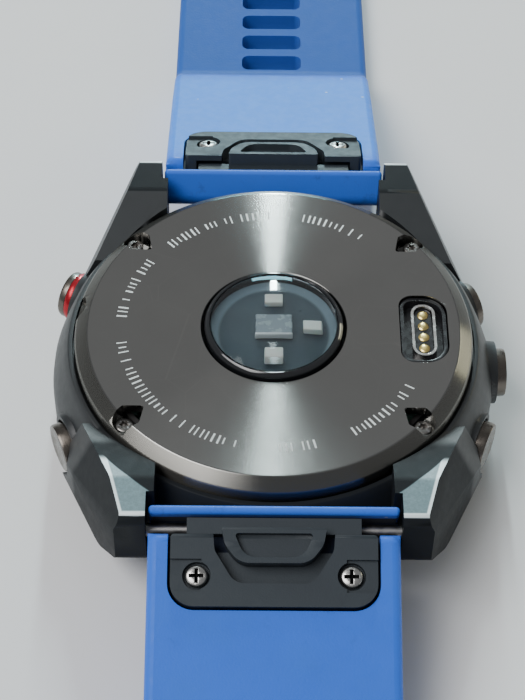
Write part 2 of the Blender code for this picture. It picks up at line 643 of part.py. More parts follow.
def latch_plate(name, slope):
    """Black plate screwed to a strap's end, with a deep D-shaped bay for the slider."""
    side = PLATE_HALF_WIDTH
    shape = rounded([(-side, PLATE_START, 0.4 * MM), (side, PLATE_START, 0.4 * MM),
                     (side, PLATE_END, 2.5 * MM),
                     (-side, PLATE_END, 2.5 * MM)])
    plate = slab(name, shape, PLATE_UNDER, PLATE_TOP)
    plate.parent = slope
    bay = rounded([(-6.3 * MM, 0.5 * MM, 0), (6.3 * MM, 0.5 * MM, 0), (6.1 * MM, 3.0 * MM, 1.5 * MM),
                   (4.0 * MM, 6.4 * MM, 1.8 * MM), (-4.0 * MM, 6.4 * MM, 1.8 * MM),
                   (-6.1 * MM, 3.0 * MM, 1.5 * MM)])
    tools = [slab(name + "_bay", bay, PLATE_UNDER + 0.6 * MM, 6 * MM, collection=cutters),
             box(name + "_notch", (18.6 * MM, 2.4 * MM, 2.0 * MM), (0, 1.7 * MM, 2.0 * MM),
                 collection=cutters)]
    for x in (-1, 1):
        head = (x * PLATE_SCREW_X, PLATE_SCREW_ALONG, 0)
        tools.append(rod(name + "_counterbore", 1.45 * MM, 2.6 * MM, 6 * MM, "Z", head, 20, cutters))
        tools.append(rod(name + "_hole", 0.8 * MM, 0, 3 * MM, "Z", head, 12, cutters))
        pad = (x * 9.4 * MM, PLATE_SCREW_ALONG, 4.3 * MM)
        tools.append(box(name + "_pad", (4.0 * MM, 3.4 * MM, 2.0 * MM), pad, collection=cutters))
    for tool in tools:
        tool.parent = slope
        combine(plate, tool)
    paint(plate, BLACK, 0.45)


def latch_slider(name, slope):
    """Thumb slider: a D-shaped button with a finger scoop, on a flange that covers the bar."""
    grip = rounded([(-5.4 * MM, 0.7 * MM, 0.2 * MM), (5.4 * MM, 0.7 * MM, 0.2 * MM),
                    (5.0 * MM, 2.2 * MM, 0.8 * MM),
                    (3.2 * MM, 4.4 * MM, 1.5 * MM), (-3.2 * MM, 4.4 * MM, 1.5 * MM),
                    (-5.0 * MM, 2.2 * MM, 0.8 * MM)])
    slider = slab(name, grip, 2.5 * MM, 4.2 * MM)
    slider.parent = slope
    flange = box(name + "_flange", (18.0 * MM, 1.7 * MM, 1.1 * MM), (0, 0.2 * MM, 2.15 * MM),
                 collection=cutters)
    flange.parent = slope
    combine(slider, flange, "UNION")
    scoop_shape = rounded([(-4.1 * MM, 1.3 * MM, 0.3 * MM), (4.1 * MM, 1.3 * MM, 0.3 * MM),
                           (2.6 * MM, 3.8 * MM, 1.0 * MM), (-2.6 * MM, 3.8 * MM, 1.0 * MM)])
    scoop = slab(name + "_scoop", scoop_shape, 3.4 * MM, 5 * MM, collection=cutters)
    scoop.parent = slope
    combine(slider, scoop)
    paint(slider, BLACK, 0.4)


def plate_screws(name, slope):
    """Two cross-head screws that hold a latch plate to its strap."""
    for number, x in enumerate((-PLATE_SCREW_X, PLATE_SCREW_X), start=1):
        shape = [(0, 3.55 * MM), (0.95 * MM, 3.5 * MM), (1.15 * MM, 3.3 * MM), (1.15 * MM, 2.9 * MM),
                 (0.5 * MM, 2.9 * MM), (0.5 * MM, -0.2 * MM), (0, -0.4 * MM)]
        screw = turned("%s_plate_screw_%d" % (name, number), shape, 16)
        screw.parent = slope
        screw.location = (x, PLATE_SCREW_ALONG, 0)
        for size in ((1.4 * MM, 0.36 * MM, 1 * MM), (0.36 * MM, 1.4 * MM, 1.02 * MM)):
            cross = box(screw.name + "_cross", size, (x, PLATE_SCREW_ALONG, 3.6 * MM), collection=cutters)
            cross.parent = slope
            combine(screw, cross)
        paint(screw, (0.7, 0.68, 0.66), 0.25, 1.0)


# ---------------------------------------------------------------- buckle and keepers

def buckle():
    """Buckle frame, tongue and pin at the end of the short strap."""
    pin = rod("buckle_pin", 0.8 * MM, -14.6 * MM, 14.6 * MM, "X", (0, -BUCKLE_Y, BUCKLE_Z), 16)
    paint(pin, STEEL, 0.3, 1.0)
    inner = 12.8 * MM
    outer = 15.4 * MM
    far = BUCKLE_Y + 11.6 * MM
    arm = rounded([(-BUCKLE_Y + 2.2 * MM, 1.3 * MM, 1.9 * MM), (-BUCKLE_Y + 2.2 * MM, 5.3 * MM, 1.9 * MM),
                   (-BUCKLE_Y - 2 * MM, 5.3 * MM, 5 * MM), (-far - 1.6 * MM, 2.2 * MM, 1.0 * MM),
                   (-far - 1.6 * MM, 0.2 * MM, 0.9 * MM), (-far + 2 * MM, 0.2 * MM, 3 * MM)])
    frame = slab("buckle_frame", arm, -outer, outer, "YZ")
    window = box("buckle_window", (2 * inner, 16 * MM, 12 * MM), (0, -far + 1.2 * MM + 8 * MM, 3 * MM),
                 collection=cutters)
    combine(frame, window)
    bore = rod("frame_bore", 1.1 * MM, -14.9 * MM, 14.9 * MM, "X", (0, -BUCKLE_Y, BUCKLE_Z), 16, cutters)
    combine(frame, bore)
    corner = rounded([(-outer, -BUCKLE_Y + 6 * MM, 0), (outer, -BUCKLE_Y + 6 * MM, 0),
                      (outer, -far - 1.61 * MM, 2.5 * MM), (-outer, -far - 1.61 * MM, 2.5 * MM)])
    combine(frame, slab("buckle_plan", corner, -3 * MM, 12 * MM, collection=cutters), "INTERSECT")
    paint(frame, STEEL, 0.3, 1.0)
    side = rounded([(-BUCKLE_Y + 2.0 * MM, 1.5 * MM, 1.7 * MM), (-BUCKLE_Y + 2.0 * MM, 5.1 * MM, 1.7 * MM),
                    (-far - 0.9 * MM, 4.9 * MM, 0.6 * MM), (-far - 0.9 * MM, 3.4 * MM, 0.6 * MM),
                    (-BUCKLE_Y - 3.2 * MM, 3.4 * MM, 2 * MM), (-BUCKLE_Y - 1.6 * MM, 1.5 * MM, 1.5 * MM)])
    tongue = slab("buckle_tongue", side, -3.4 * MM, 3.4 * MM, "YZ")
    eye = rod("tongue_bore", 1.1 * MM, -6 * MM, 6 * MM, "X", (0, -BUCKLE_Y, BUCKLE_Z), 16, cutters)
    combine(tongue, eye)
    paint(tongue, STEEL, 0.3, 1.0)


def keeper(name, middle):
    """Silicone loop around the short strap, with room for the strap's tip above it."""
    width = 5 * MM
    outer_x = 14.45 * MM
    inner_x = 13.1 * MM
    shell = rounded([(-outer_x, 0, 1.6 * MM), (outer_x, 0, 1.6 * MM), (outer_x, 9.2 * MM, 1.6 * MM),
                     (-outer_x, 9.2 * MM, 1.6 * MM)])
    space = rounded([(-inner_x, 1.4 * MM, 0.5 * MM), (inner_x, 1.4 * MM, 0.5 * MM),
                     (inner_x, 8.0 * MM, 0.5 * MM), (-inner_x, 8.0 * MM, 0.5 * MM)])
    loop = slab(name, shell, middle - width / 2, middle + width / 2, "XZ")
    hollow = slab(name + "_space", space, middle - width, middle + width, "XZ", cutters)
    combine(loop, hollow)
    paint(loop, BLUE, 0.45)


def lug_bar(name, side):
    """Steel bar between two lugs that a strap half turns on."""
    bar = rod(name, BAR_RADIUS, -14.6 * MM, 14.6 * MM, "X", (0, side * BAR_Y, BAR_Z), 16)
    paint(bar, STEEL, 0.3, 1.0)


case_body()
bezel_and_crystal()
works()
rear_cover()
cover_screws()
sensor()
charging_port()
buttons()
lug_bar("lug_bar_long", 1)
lug_bar("lug_bar_short", -1)
for strap_name, strap_side in (("long", 1), ("short", -1)):
    strap_hinge, strap_slope = hinge_mark(strap_name + "_strap", strap_side)
    if strap_side > 0:
        long_strap(strap_hinge, strap_slope)
    else:
        short_strap(strap_hinge, strap_slope)
    latch_plate(strap_name + "_latch_plate", strap_slope)
    latch_slider(strap_name + "_latch_slider", strap_slope)
    plate_screws(strap_name, strap_slope)
buckle()
keeper("fixed_keeper", 95.5 * MM)
keeper("sliding_keeper", 84 * MM)
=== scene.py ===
"""Looks of the golf GPS watch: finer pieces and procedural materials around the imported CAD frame."""
import json
import random
from math import atan2, cos, pi, radians, sin, tan

import bmesh
import bpy
from mathutils import Matrix, Vector

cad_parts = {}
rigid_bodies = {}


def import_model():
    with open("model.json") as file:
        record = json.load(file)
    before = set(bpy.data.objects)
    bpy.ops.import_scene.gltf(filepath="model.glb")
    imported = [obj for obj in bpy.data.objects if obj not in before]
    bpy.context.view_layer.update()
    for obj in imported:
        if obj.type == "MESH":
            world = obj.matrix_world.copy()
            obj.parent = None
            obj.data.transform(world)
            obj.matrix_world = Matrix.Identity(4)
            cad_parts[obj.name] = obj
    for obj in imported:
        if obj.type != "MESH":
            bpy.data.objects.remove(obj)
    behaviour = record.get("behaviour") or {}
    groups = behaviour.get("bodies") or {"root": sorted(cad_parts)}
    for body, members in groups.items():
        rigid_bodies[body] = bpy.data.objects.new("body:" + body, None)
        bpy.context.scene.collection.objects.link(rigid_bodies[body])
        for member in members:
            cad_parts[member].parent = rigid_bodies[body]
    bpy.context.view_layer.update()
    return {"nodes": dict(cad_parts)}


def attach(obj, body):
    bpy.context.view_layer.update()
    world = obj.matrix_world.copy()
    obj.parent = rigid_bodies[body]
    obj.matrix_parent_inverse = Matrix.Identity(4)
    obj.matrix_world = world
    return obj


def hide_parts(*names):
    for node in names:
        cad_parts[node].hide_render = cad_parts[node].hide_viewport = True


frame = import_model()
MM = 0.001
FINE = 128
CASE = "case"
# faces over this area, in square metres, stay flat-shaded
WIDE_PLANE = 1e-4
SHARP_ANGLE = radians(40)
ARC_STEP = radians(9)


# ---------- sizes

CASE_RADIUS = 25.0 * MM
CASE_BOTTOM = 3.8 * MM
CASE_RIM_TOP = 13.9 * MM
SHELF_TOP = 13.0 * MM
LUG_INNER_X = 13.3 * MM
LUG_TIP_Y = 26.4 * MM
LUG_TOP = 16.3 * MM
BAR_Y = 25.1 * MM
BAR_Z = 12.5 * MM
BUTTON_Z = 7.5 * MM
BUTTON_RADIUS = 2.75 * MM
SCREW_X = 16.04 * MM
SCREW_Y = 13.17 * MM
SCREW_SIDES = ((1, 1), (-1, 1), (-1, -1), (1, -1))
BUTTONS = {
    # angle about Z in degrees, radius of the cap's face, radius where its guard ends
    "button_light": (25.0, 26.2 * MM, 25.0 * MM),
    "button_up": (1.5, 26.6 * MM, 25.4 * MM),
    "button_down": (-23.0, 26.1 * MM, 24.9 * MM),
    "button_start": (153.0, 27.1 * MM, 25.2 * MM),
    "button_back": (204.5, 26.2 * MM, 25.0 * MM),
}
PORT_X = 16.7 * MM
PORT_Y = -0.2 * MM

STRAP_HALF_WIDTH = 13.0 * MM
STRAP_DROOP = radians(21)
STRAP_TOP = 3.2 * MM
STRAP_UNDER = 1.95 * MM
STRAP_THIN = 3.0 * MM
LIP_INNER = 1.0 * MM
LIP_TOP = 3.0 * MM
LIP_END = 27 * MM
THICK_END = 54.0 * MM
LONG_REACH = 152.0 * MM
SHORT_REST = 1.8 * MM
BUCKLE_Y = 108.0 * MM
BUCKLE_Z = 3.3 * MM
PIN_BORE = 1.1 * MM
PLATE_HALF_WIDTH = 10.6 * MM
PLATE_START = 1.3 * MM
PLATE_END = 8.8 * MM
PLATE_UNDER = 1.6 * MM
PLATE_TOP = 3.7 * MM
PLATE_SCREW_X = 7.9 * MM
PLATE_SCREW_ALONG = 5.6 * MM
SLOT_COUNT = 19
SLOT_START = 58.6 * MM
SLOT_PITCH = 4.2 * MM
GAP = 0.3 * MM


# ---------- modelling tools

def mm(*values):
    """Lengths, or points of lengths, given in millimetres."""
    return tuple(mm(*value) if isinstance(value, tuple) else value * MM for value in values)


def link(name, data):
    """Put data into the scene as a named object."""
    made = bpy.data.objects.new(name, data)
    bpy.context.scene.collection.objects.link(made)
    return made


def shaped(name, shape):
    """Object made from a finished bmesh."""
    mesh = bpy.data.meshes.new(name)
    shape.to_mesh(mesh)
    shape.free()
    return link(name, mesh)


def evaluated_mesh(source):
    """The mesh of an object with its modifiers or curve settings worked out, in world space."""
    bpy.context.view_layer.update()
    graph = bpy.context.evaluated_depsgraph_get()
    mesh = bpy.data.meshes.new_from_object(source.evaluated_get(graph))
    shape = bmesh.new()
    shape.from_mesh(mesh)
    bmesh.ops.transform(shape, matrix=source.matrix_world, verts=shape.verts)
    bmesh.ops.remove_doubles(shape, verts=shape.verts, dist=0.0005 * MM)
    bmesh.ops.recalc_face_normals(shape, faces=shape.faces)
    shape.to_mesh(mesh)
    shape.free()
    return mesh


def bake(source):
    """Fix an object's modifiers and place into its mesh, shaded smooth between its real edges."""
    mesh = evaluated_mesh(source)
    source.modifiers.clear()
    source.data = mesh
    source.parent = None
    source.matrix_world = Matrix.Identity(4)
    mesh.shade_smooth()
    mesh.set_sharp_from_angle(angle=SHARP_ANGLE)
    return source


def turned(name, profile, steps=FINE, ring=False):
    """Turn a profile of (radius, height) about Z; it runs down its outer side."""
    mesh = bpy.data.meshes.new(name)
    links = [(i, i + 1) for i in range(len(profile) - 1)]
    if ring:
        links.append((len(profile) - 1, 0))
    mesh.from_pydata([(point[0], 0.0, point[1]) for point in profile], links, [])
    made = link(name, mesh)
    screw = made.modifiers.new("Turn", "SCREW")
    screw.steps = steps
    screw.render_steps = steps
    screw.use_merge_vertices = True
    screw.merge_threshold = 0.002 * MM
    return bake(made)


def rounded(corners):
    """Outline through corners of (u, v, radius), each rounded by an arc of short steps."""
    outline = []
    count = len(corners)
    for i, (u, v, radius) in enumerate(corners):
        corner = Vector((u, v))
        before = (Vector(corners[i - 1][:2]) - corner).normalized()
        after = (Vector(corners[(i + 1) % count][:2]) - corner).normalized()
        if radius <= 0:
            outline.append(corner)
            continue
        opening = before.angle(after)
        centre = corner + (before + after).normalized() * radius / sin(opening / 2)
        start = corner + before * (radius / tan(opening / 2)) - centre
        turn = (pi - opening) * (1 if before.cross(after) < 0 else -1)
        steps = max(2, round(abs(turn) / ARC_STEP))
        outline += [centre + Matrix.Rotation(turn * k / steps, 2) @ start for k in range(steps + 1)]
    return outline


PLANES = {
    "XY": Matrix.Identity(4),
    "YZ": Matrix(((0, 0, 1, 0), (1, 0, 0, 0), (0, 1, 0, 0), (0, 0, 0, 1))),
    "XZ": Matrix(((1, 0, 0, 0), (0, 0, -1, 0), (0, 1, 0, 0), (0, 0, 0, 1))),
}


def slab(name, outline, low, high, plane="XY", parent=None):
    """Flat outline in a plane, extruded from low to high along that plane's normal."""
    curve = bpy.data.curves.new(name, "CURVE")
    curve.dimensions = "2D"
    curve.fill_mode = "BOTH"
    curve.extrude = (high - low) / 2
    spline = curve.splines.new("POLY")
    spline.points.add(len(outline) - 1)
    for point, place in zip(spline.points, outline):
        point.co = (place[0], place[1], 0, 1)
    spline.use_cyclic_u = True
    guide = link(name + "_outline", curve)
    mesh = evaluated_mesh(guide)
    bpy.data.objects.remove(guide, do_unlink=True)
    mesh.transform(Matrix.Translation((0, 0, (low + high) / 2)))
    mesh.transform(PLANES[plane])
    made = link(name, mesh)
    made.parent = parent
    return made


def symmetric(*half):
    """Rounded outline through corners on +u and the same corners mirrored to -u."""
    other = [(-u, v, radius) for u, v, radius in reversed(half)]
    return rounded([other[-1], *half, *other[:-1]])


def stadium(length, width):
    """Outline of a slot along Y with round ends."""
    half = length / 2
    side = width / 2
    end = side * 0.999
    return symmetric((side, -half, end), (side, half, end))


def box(name, size, centre, parent=None):
    """Box about a centre."""
    shape = bmesh.new()
    bmesh.ops.create_cube(shape, size=1.0, matrix=Matrix.Diagonal((*size, 1)))
    made = shaped(name, shape)
    made.location = centre
    made.parent = parent
    return made


TURNS = {"X": (0, pi / 2, 0), "Z": (0, 0, 0)}


def rod(name, radius, low, high, axis="Z", at=(0, 0, 0), sides=48, parent=None, tip=None):
    """Cylinder or cone along an axis from low to high, through a point."""
    shape = bmesh.new()
    top = radius if tip is None else tip
    bmesh.ops.create_cone(shape, cap_ends=True, segments=sides, radius1=radius, radius2=top,
                          depth=high - low, matrix=Matrix.Translation((0, 0, (low + high) / 2)))
    made = shaped(name, shape)
    made.rotation_euler = TURNS[axis]
    made.location = at
    made.parent = parent
    return made


def combine(target, tool, operation="DIFFERENCE"):
    """Boolean a tool into a target and remove the tool."""
    step = target.modifiers.new(operation.title(), "BOOLEAN")
    step.operation = operation
    step.solver = "EXACT"
    step.object = tool
    bake(target)
    bpy.data.objects.remove(tool, do_unlink=True)
    return target


def mirrored(target, x=True):
    """Repeat an object on the other side, or sides, of the case's middle planes."""
    bake(target)
    step = target.modifiers.new("Mirror", "MIRROR")
    step.use_axis = (x, True, False)
    step.merge_threshold = 0.0005 * MM
    return bake(target)


def trim(target, point, normal):
    """Cut away everything in front of a plane."""
    size = 60 * MM
    direction = Vector(normal).normalized()
    tool = box(target.name + "_trim", (size, size, size), (0, 0, 0))
    tool.rotation_mode = "QUATERNION"
    tool.rotation_quaternion = direction.to_track_quat("Z", "Y")
    tool.location = Vector(point) + direction * size / 2
    return combine(target, tool)


def soften(target, width, segments=2, angle=35):
    """Round an object's real edges."""
    step = target.modifiers.new("Edges", "BEVEL")
    step.width = width
    step.segments = segments
    step.limit_method = "ANGLE"
    step.angle_limit = radians(angle)
    step.harden_normals = False
    step.miter_outer = "MITER_ARC"
    return bake(target)


def settle(piece, body, slot, material, *nodes):
    """Finish a piece: its material, its body and the CAD nodes it stands for; the slot argument is not
    used.
    """
    if piece.modifiers or piece.parent:
        bake(piece)
    for face in piece.data.polygons:
        if face.area > WIDE_PLANE:
            face.use_smooth = False
    flat = piece.modifiers.new("Normals", "WEIGHTED_NORMAL")
    flat.keep_sharp = True
    flat.weight = 80
    piece.data.materials.clear()
    piece.data.materials.append(material)
    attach(piece, body)
    if nodes:
        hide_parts(*nodes)
    return piece


# ---------- material tools

def add(tree, kind, settings=None, **wires):
    """Add a node; wires name its inputs (or i0, i1 by place) and hold sockets or values."""
    made = tree.nodes.new(kind)
    for key, value in (settings or {}).items():
        setattr(made, key, value)
    for key, value in wires.items():
        place = int(key[1:]) if key[0] == "i" and key[1:].isdigit() else key.replace("_", " ")
        if isinstance(value, bpy.types.NodeSocket):
            tree.links.new(value, made.inputs[place])
        else:
            made.inputs[place].default_value = value
    return made


def calc(tree, operation, first, second=0.0, third=0.0):
    """Output of a math node."""
    return add(tree, "ShaderNodeMath", {"operation": operation}, i0=first, i1=second,
               i2=third).outputs[0]


def product(tree, *values):
    """Product of several values."""
    total = values[0]
    for value in values[1:]:
        total = calc(tree, "MULTIPLY", total, value)
    return total


def distance(tree, x, y):
    """Length of a flat vector."""
    return calc(tree, "SQRT", calc(tree, "MULTIPLY_ADD", x, x, product(tree, y, y)))


def fade(tree, value, low, high, start=0.0, end=1.0):
    """Smooth step of a value from start at low to end at high."""
    made = add(tree, "ShaderNodeMapRange", {"interpolation_type": "SMOOTHSTEP"}, Value=value, i1=low,
               i2=high, i3=start, i4=end)
    return made.outputs[0]


def ramp(tree, length, low, high, start=0.0, end=1.0):
    """Smooth step of a length between limits in millimetres."""
    return fade(tree, length, low * MM, high * MM, start, end)


def noise(tree, vector, scale, detail, rough=0.5):
    """Noise value at a scale in cells a metre."""
    made = add(tree, "ShaderNodeTexNoise", Vector=vector, Scale=scale, Detail=detail, Roughness=rough)
    return made.outputs["Fac"]


def blend_colour(tree, share, first, second):
    """Mix of two colours."""
    made = tree.nodes.new("ShaderNodeMix")
    made.data_type = "RGBA"
    for socket, value in ((made.inputs[0], share), (made.inputs[6], first), (made.inputs[7], second)):
        if isinstance(value, bpy.types.NodeSocket):
            tree.links.new(value, socket)
        elif isinstance(value, tuple):
            socket.default_value = (*value, 1.0)
        else:
            socket.default_value = value
    return made.outputs[2]


def surface(name, colour, roughness, metallic=0.0, vary=0.12, grain=(5000, 0.02),
            spread=0.08, **sockets):
    """Principled material with mottled colour, uneven gloss and a fine grain; grain depth is in mm."""
    material = bpy.data.materials.new(name)
    material.use_nodes = True
    tree = material.node_tree
    shader = tree.nodes["Principled BSDF"]
    shader.inputs["Metallic"].default_value = metallic
    for key, value in sockets.items():
        shader.inputs[key.replace("_", " ")].default_value = value
    place = add(tree, "ShaderNodeTexCoord").outputs["Object"]
    broad = noise(tree, place, 260, 4)
    dark = tuple(c * (1 - vary) for c in colour)
    light = tuple(min(1.0, c * (1 + vary)) for c in colour)
    tree.links.new(blend_colour(tree, broad, dark, light), shader.inputs["Base Color"])
    patch = noise(tree, place, 900, 5, 0.6)
    gloss = fade(tree, patch, 0.3, 0.7, max(0.02, roughness - spread), roughness + spread)
    tree.links.new(gloss, shader.inputs["Roughness"])
    fine = noise(tree, place, grain[0], 2)
    bump = add(tree, "ShaderNodeBump", Strength=0.6, Distance=grain[1] * MM, Height=fine)
    tree.links.new(bump.outputs[0], shader.inputs["Normal"])
    return material


def parts_of(material):
    """A material's tree, its shader and its Object coordinates."""
    tree = material.node_tree
    coordinates = next(n for n in tree.nodes if n.bl_idname == "ShaderNodeTexCoord")
    return tree, tree.nodes["Principled BSDF"], coordinates.outputs["Object"]


def overlay(material, share, colour, roughness=None):
    """Lay a second colour, and gloss, over a material where share is 1."""
    tree, shader, _ = parts_of(material)
    base = shader.inputs["Base Color"].links[0].from_socket
    tree.links.new(blend_colour(tree, share, base, colour), shader.inputs["Base Color"])
    if roughness is not None:
        old = shader.inputs["Roughness"].links[0].from_socket
        mixed = add(tree, "ShaderNodeMix", i0=share, i2=old, i3=roughness).outputs[0]
        tree.links.new(mixed, shader.inputs["Roughness"])
    return material


def axes_of(tree, place):
    """Separate X, Y and Z of a vector."""
    return add(tree, "ShaderNodeSeparateXYZ", Vector=place).outputs


def worn_edges(material, colour, roughness):
    """Rub a material bright along its outward edges."""
    tree, _, place = parts_of(material)
    point = add(tree, "ShaderNodeNewGeometry").outputs["Pointiness"]
    uneven = calc(tree, "MULTIPLY_ADD", noise(tree, place, 1500, 3), 0.06, -0.03)
    rub = calc(tree, "ADD", point, uneven)
    return overlay(material, fade(tree, rub, 0.56, 0.66, 0.0, 0.7), colour, roughness)


def polymer_material():
    """Black polymer with dull lugs; the six o'clock pair has a painted pale reflection on its top
    facets, and painted highlights run along their side edges and along the tips of all four lugs.
    """
    material = surface("case_polymer", (0.015, 0.017, 0.019), 0.46, 0.0, 0.08, (7000, 0.02), 0.03)
    tree, shader, place = parts_of(material)
    x, y, z = axes_of(tree, place)[:3]
    aside = calc(tree, "ABSOLUTE", x)
    along = calc(tree, "ABSOLUTE", y)
    normal = axes_of(tree, add(tree, "ShaderNodeNewGeometry").outputs["Normal"])[2]
    shoulder = calc(tree, "MULTIPLY_ADD", along, -0.22, distance(tree, x, y))
    low_side = ramp(tree, y, -14, -16)
    high_side = ramp(tree, y, 14, 16)
    top = product(tree, ramp(tree, shoulder, 21.2, 21.35), ramp(tree, z, 15.2, 15.6))
    # painted reflection: the top facets of the six o'clock lugs are painted pale, in patches
    reflection_patches = fade(tree, noise(tree, place, 2600, 6, 0.75), 0.35, 0.7, 0.75, 1.0)
    painted_reflection = product(tree, fade(tree, normal, 0.9, 0.97), top, low_side, reflection_patches)
    overlay(material, painted_reflection, (0.17, 0.26, 0.285), 0.36)
    # painted highlights along the outer side edges of the six o'clock lugs and along the tips of all
    # four lugs
    flank = calc(tree, "MULTIPLY_ADD", aside, 0.89, calc(tree, "MULTIPLY", along, 0.233))
    side_highlight = product(tree, ramp(tree, flank, 19.80, 19.95), low_side)
    tip_highlight = ramp(tree, along, 25.35, 25.55)
    edge = product(tree, calc(tree, "MAXIMUM", side_highlight, tip_highlight), top, fade(tree, normal, 0.55, 0.75))
    overlay(material, edge, (0.80, 0.90, 0.92), 0.3)
    flat = product(tree, fade(tree, normal, 0.965, 0.985), high_side)
    dull = calc(tree, "SUBTRACT", calc(tree, "MAXIMUM", low_side, flat),
                calc(tree, "MAXIMUM", painted_reflection, edge))
    tree.links.new(fade(tree, dull, 0, 1, 0.5, 0.06), shader.inputs["Specular IOR Level"])
    return material


def cover_material():
    """Dark steel turned in fine circles, with faint radial scratches and a duller bevel painted darker
    as shade.
    """
    material = surface("cover_steel", (0.26, 0.258, 0.248), 0.14, 1.0, 0.04, (9000, 0.001), 0.006,
                       Anisotropic=1.0, Anisotropic_Rotation=0.25)
    tree, shader, place = parts_of(material)
    tangent = add(tree, "ShaderNodeTangent", {"direction_type": "RADIAL", "axis": "Z"})
    tree.links.new(tangent.outputs[0], shader.inputs["Tangent"])
    x, y = axes_of(tree, place)[:2]
    radius = distance(tree, x, y)
    angle = calc(tree, "ARCTAN2", y, x)
    rings = add(tree, "ShaderNodeCombineXYZ", X=radius, Y=product(tree, angle, 0.0006))
    lines = noise(tree, rings.outputs[0], 16000, 3, 0.7)
    spokes = add(tree, "ShaderNodeCombineXYZ", X=product(tree, angle, 0.02),
                 Y=product(tree, radius, 0.04))
    streaks = fade(tree, noise(tree, spokes.outputs[0], 1500, 5, 0.75), 0.60, 0.74, 0.0, 0.5)
    overlay(material, streaks, (0.26, 0.25, 0.235))
    scratch = add(tree, "ShaderNodeTexVoronoi", {"feature": "DISTANCE_TO_EDGE"}, Vector=place,
                  Scale=140.0)
    cuts = fade(tree, scratch.outputs["Distance"], 0.0, 0.006, 0.25, 0.0)
    overlay(material, cuts, (0.34, 0.33, 0.31))
    # painted shade: the bevel is darkened
    bevel = ramp(tree, radius, 20.7, 20.85, 0.0, 0.8)
    overlay(material, bevel, (0.15, 0.145, 0.13), 0.3)
    bump = add(tree, "ShaderNodeBump", Strength=0.35, Distance=0.002 * MM, Height=lines)
    tree.links.new(bump.outputs[0], shader.inputs["Normal"])
    return material


def sloped_axes(tree, place):
    """Distances across, along and above a strap half where it droops from its lug bar."""
    x, y, z = axes_of(tree, place)[:3]
    level = cos(STRAP_DROOP)
    fall = sin(STRAP_DROOP)
    out = calc(tree, "SUBTRACT", calc(tree, "ABSOLUTE", y), BAR_Y)
    up = calc(tree, "SUBTRACT", z, BAR_Z)
    above = calc(tree, "MULTIPLY_ADD", up, level, product(tree, out, fall))
    along = calc(tree, "MULTIPLY_ADD", out, level, product(tree, up, -fall))
    return calc(tree, "ABSOLUTE", x), along, above


def plate_screw_material():
    """Bright steel with its cross recess painted dark as shade."""
    material = worn_edges(surface("bright_screw", (0.50, 0.49, 0.47), 0.30, 1.0, 0.12, (6000, 0.006)),
                          (0.80, 0.79, 0.77), 0.2)
    tree, _, place = parts_of(material)
    across, along, above = sloped_axes(tree, place)
    aside = calc(tree, "SUBTRACT", across, PLATE_SCREW_X)
    ahead = calc(tree, "SUBTRACT", along, PLATE_SCREW_ALONG)
    off_axis = distance(tree, aside, ahead)
    # painted shade inside the cross recess
    recess = product(tree, ramp(tree, above, 3.50, 3.44), ramp(tree, off_axis, 0.86, 0.80))
    return overlay(material, recess, (0.012, 0.012, 0.012), 0.7)


def silicone_material():
    """Satin blue silicone with a soft bloom, specks of dust and grime beside the latch plates; painted
    shade darkens the long strap's thin run and the cradles around the lug bars, and a painted paler
    sheen lies on the long strap's slope.
    """
    material = surface("strap_silicone", (0.032, 0.155, 0.74), 0.44, vary=0.06, grain=(4200, 0.03),
                       Sheen_Weight=0.06, Sheen_Roughness=0.5)
    tree, shader, place = parts_of(material)
    y = axes_of(tree, place)[1]
    thin = (THICK_END - MM, THICK_END + 2 * MM)
    bloom = fade(tree, noise(tree, place, 120, 4, 0.6), 0.42, 0.72, 0.0, 0.20)
    overlay(material, bloom, (0.05, 0.19, 0.62), 0.55)
    grime = fade(tree, noise(tree, place, 420, 6, 0.7), 0.56, 0.72, 0.0, 0.35)
    beside = product(tree, grime, ramp(tree, calc(tree, "ABSOLUTE", y), 44, 30))
    overlay(material, beside, (0.035, 0.075, 0.17), 0.6)
    # painted shade: the long strap is darkened beyond its thick part
    overlay(material, fade(tree, y, *thin, 0.0, 0.62), (0.022, 0.070, 0.20), 0.6)
    tree.links.new(fade(tree, y, *thin, 0.15, 0.07), shader.inputs["Specular IOR Level"])
    # painted sheen: the long strap's slope is painted paler
    pale = product(tree, ramp(tree, y, 26, 32, 0.0, 0.45), ramp(tree, y, 55, 51))
    overlay(material, pale, (0.035, 0.32, 0.97))
    across, along, above = sloped_axes(tree, place)
    # painted shade in the cradle around the lug bar, back to the end of the latch plate
    cradle_shade = product(tree, ramp(tree, above, 1.7, 1.4), ramp(tree, above, -1.6, -1.4),
                     ramp(tree, along, 9.3, 9.1), ramp(tree, along, -1.15, -1.0),
                     ramp(tree, across, 12.97, 12.9))
    overlay(material, cradle_shade, (0.010, 0.016, 0.035), 0.6)
    specks = add(tree, "ShaderNodeTexVoronoi", Vector=place, Scale=420.0)
    tint = add(tree, "ShaderNodeSeparateColor", Color=specks.outputs["Color"]).outputs[0]
    dots = product(tree, calc(tree, "GREATER_THAN", tint, 0.86),
                   fade(tree, specks.outputs["Distance"], 0.05, 0.10, 0.8, 0.0))
    return overlay(material, dots, (0.55, 0.62, 0.72), 0.8)


def board_material(name, colour):
    """Circuit board with faint square tracks."""
    material = surface(name, colour, 0.4, grain=(3000, 0.01))
    tree, _, place = parts_of(material)
    bricks = add(tree, "ShaderNodeTexBrick", Vector=place, Scale=900.0, Mortar_Size=0.06)
    tracks = calc(tree, "SUBTRACT", 1.0, bricks.outputs["Fac"])
    return overlay(material, tracks, tuple(c * 1.5 for c in colour))


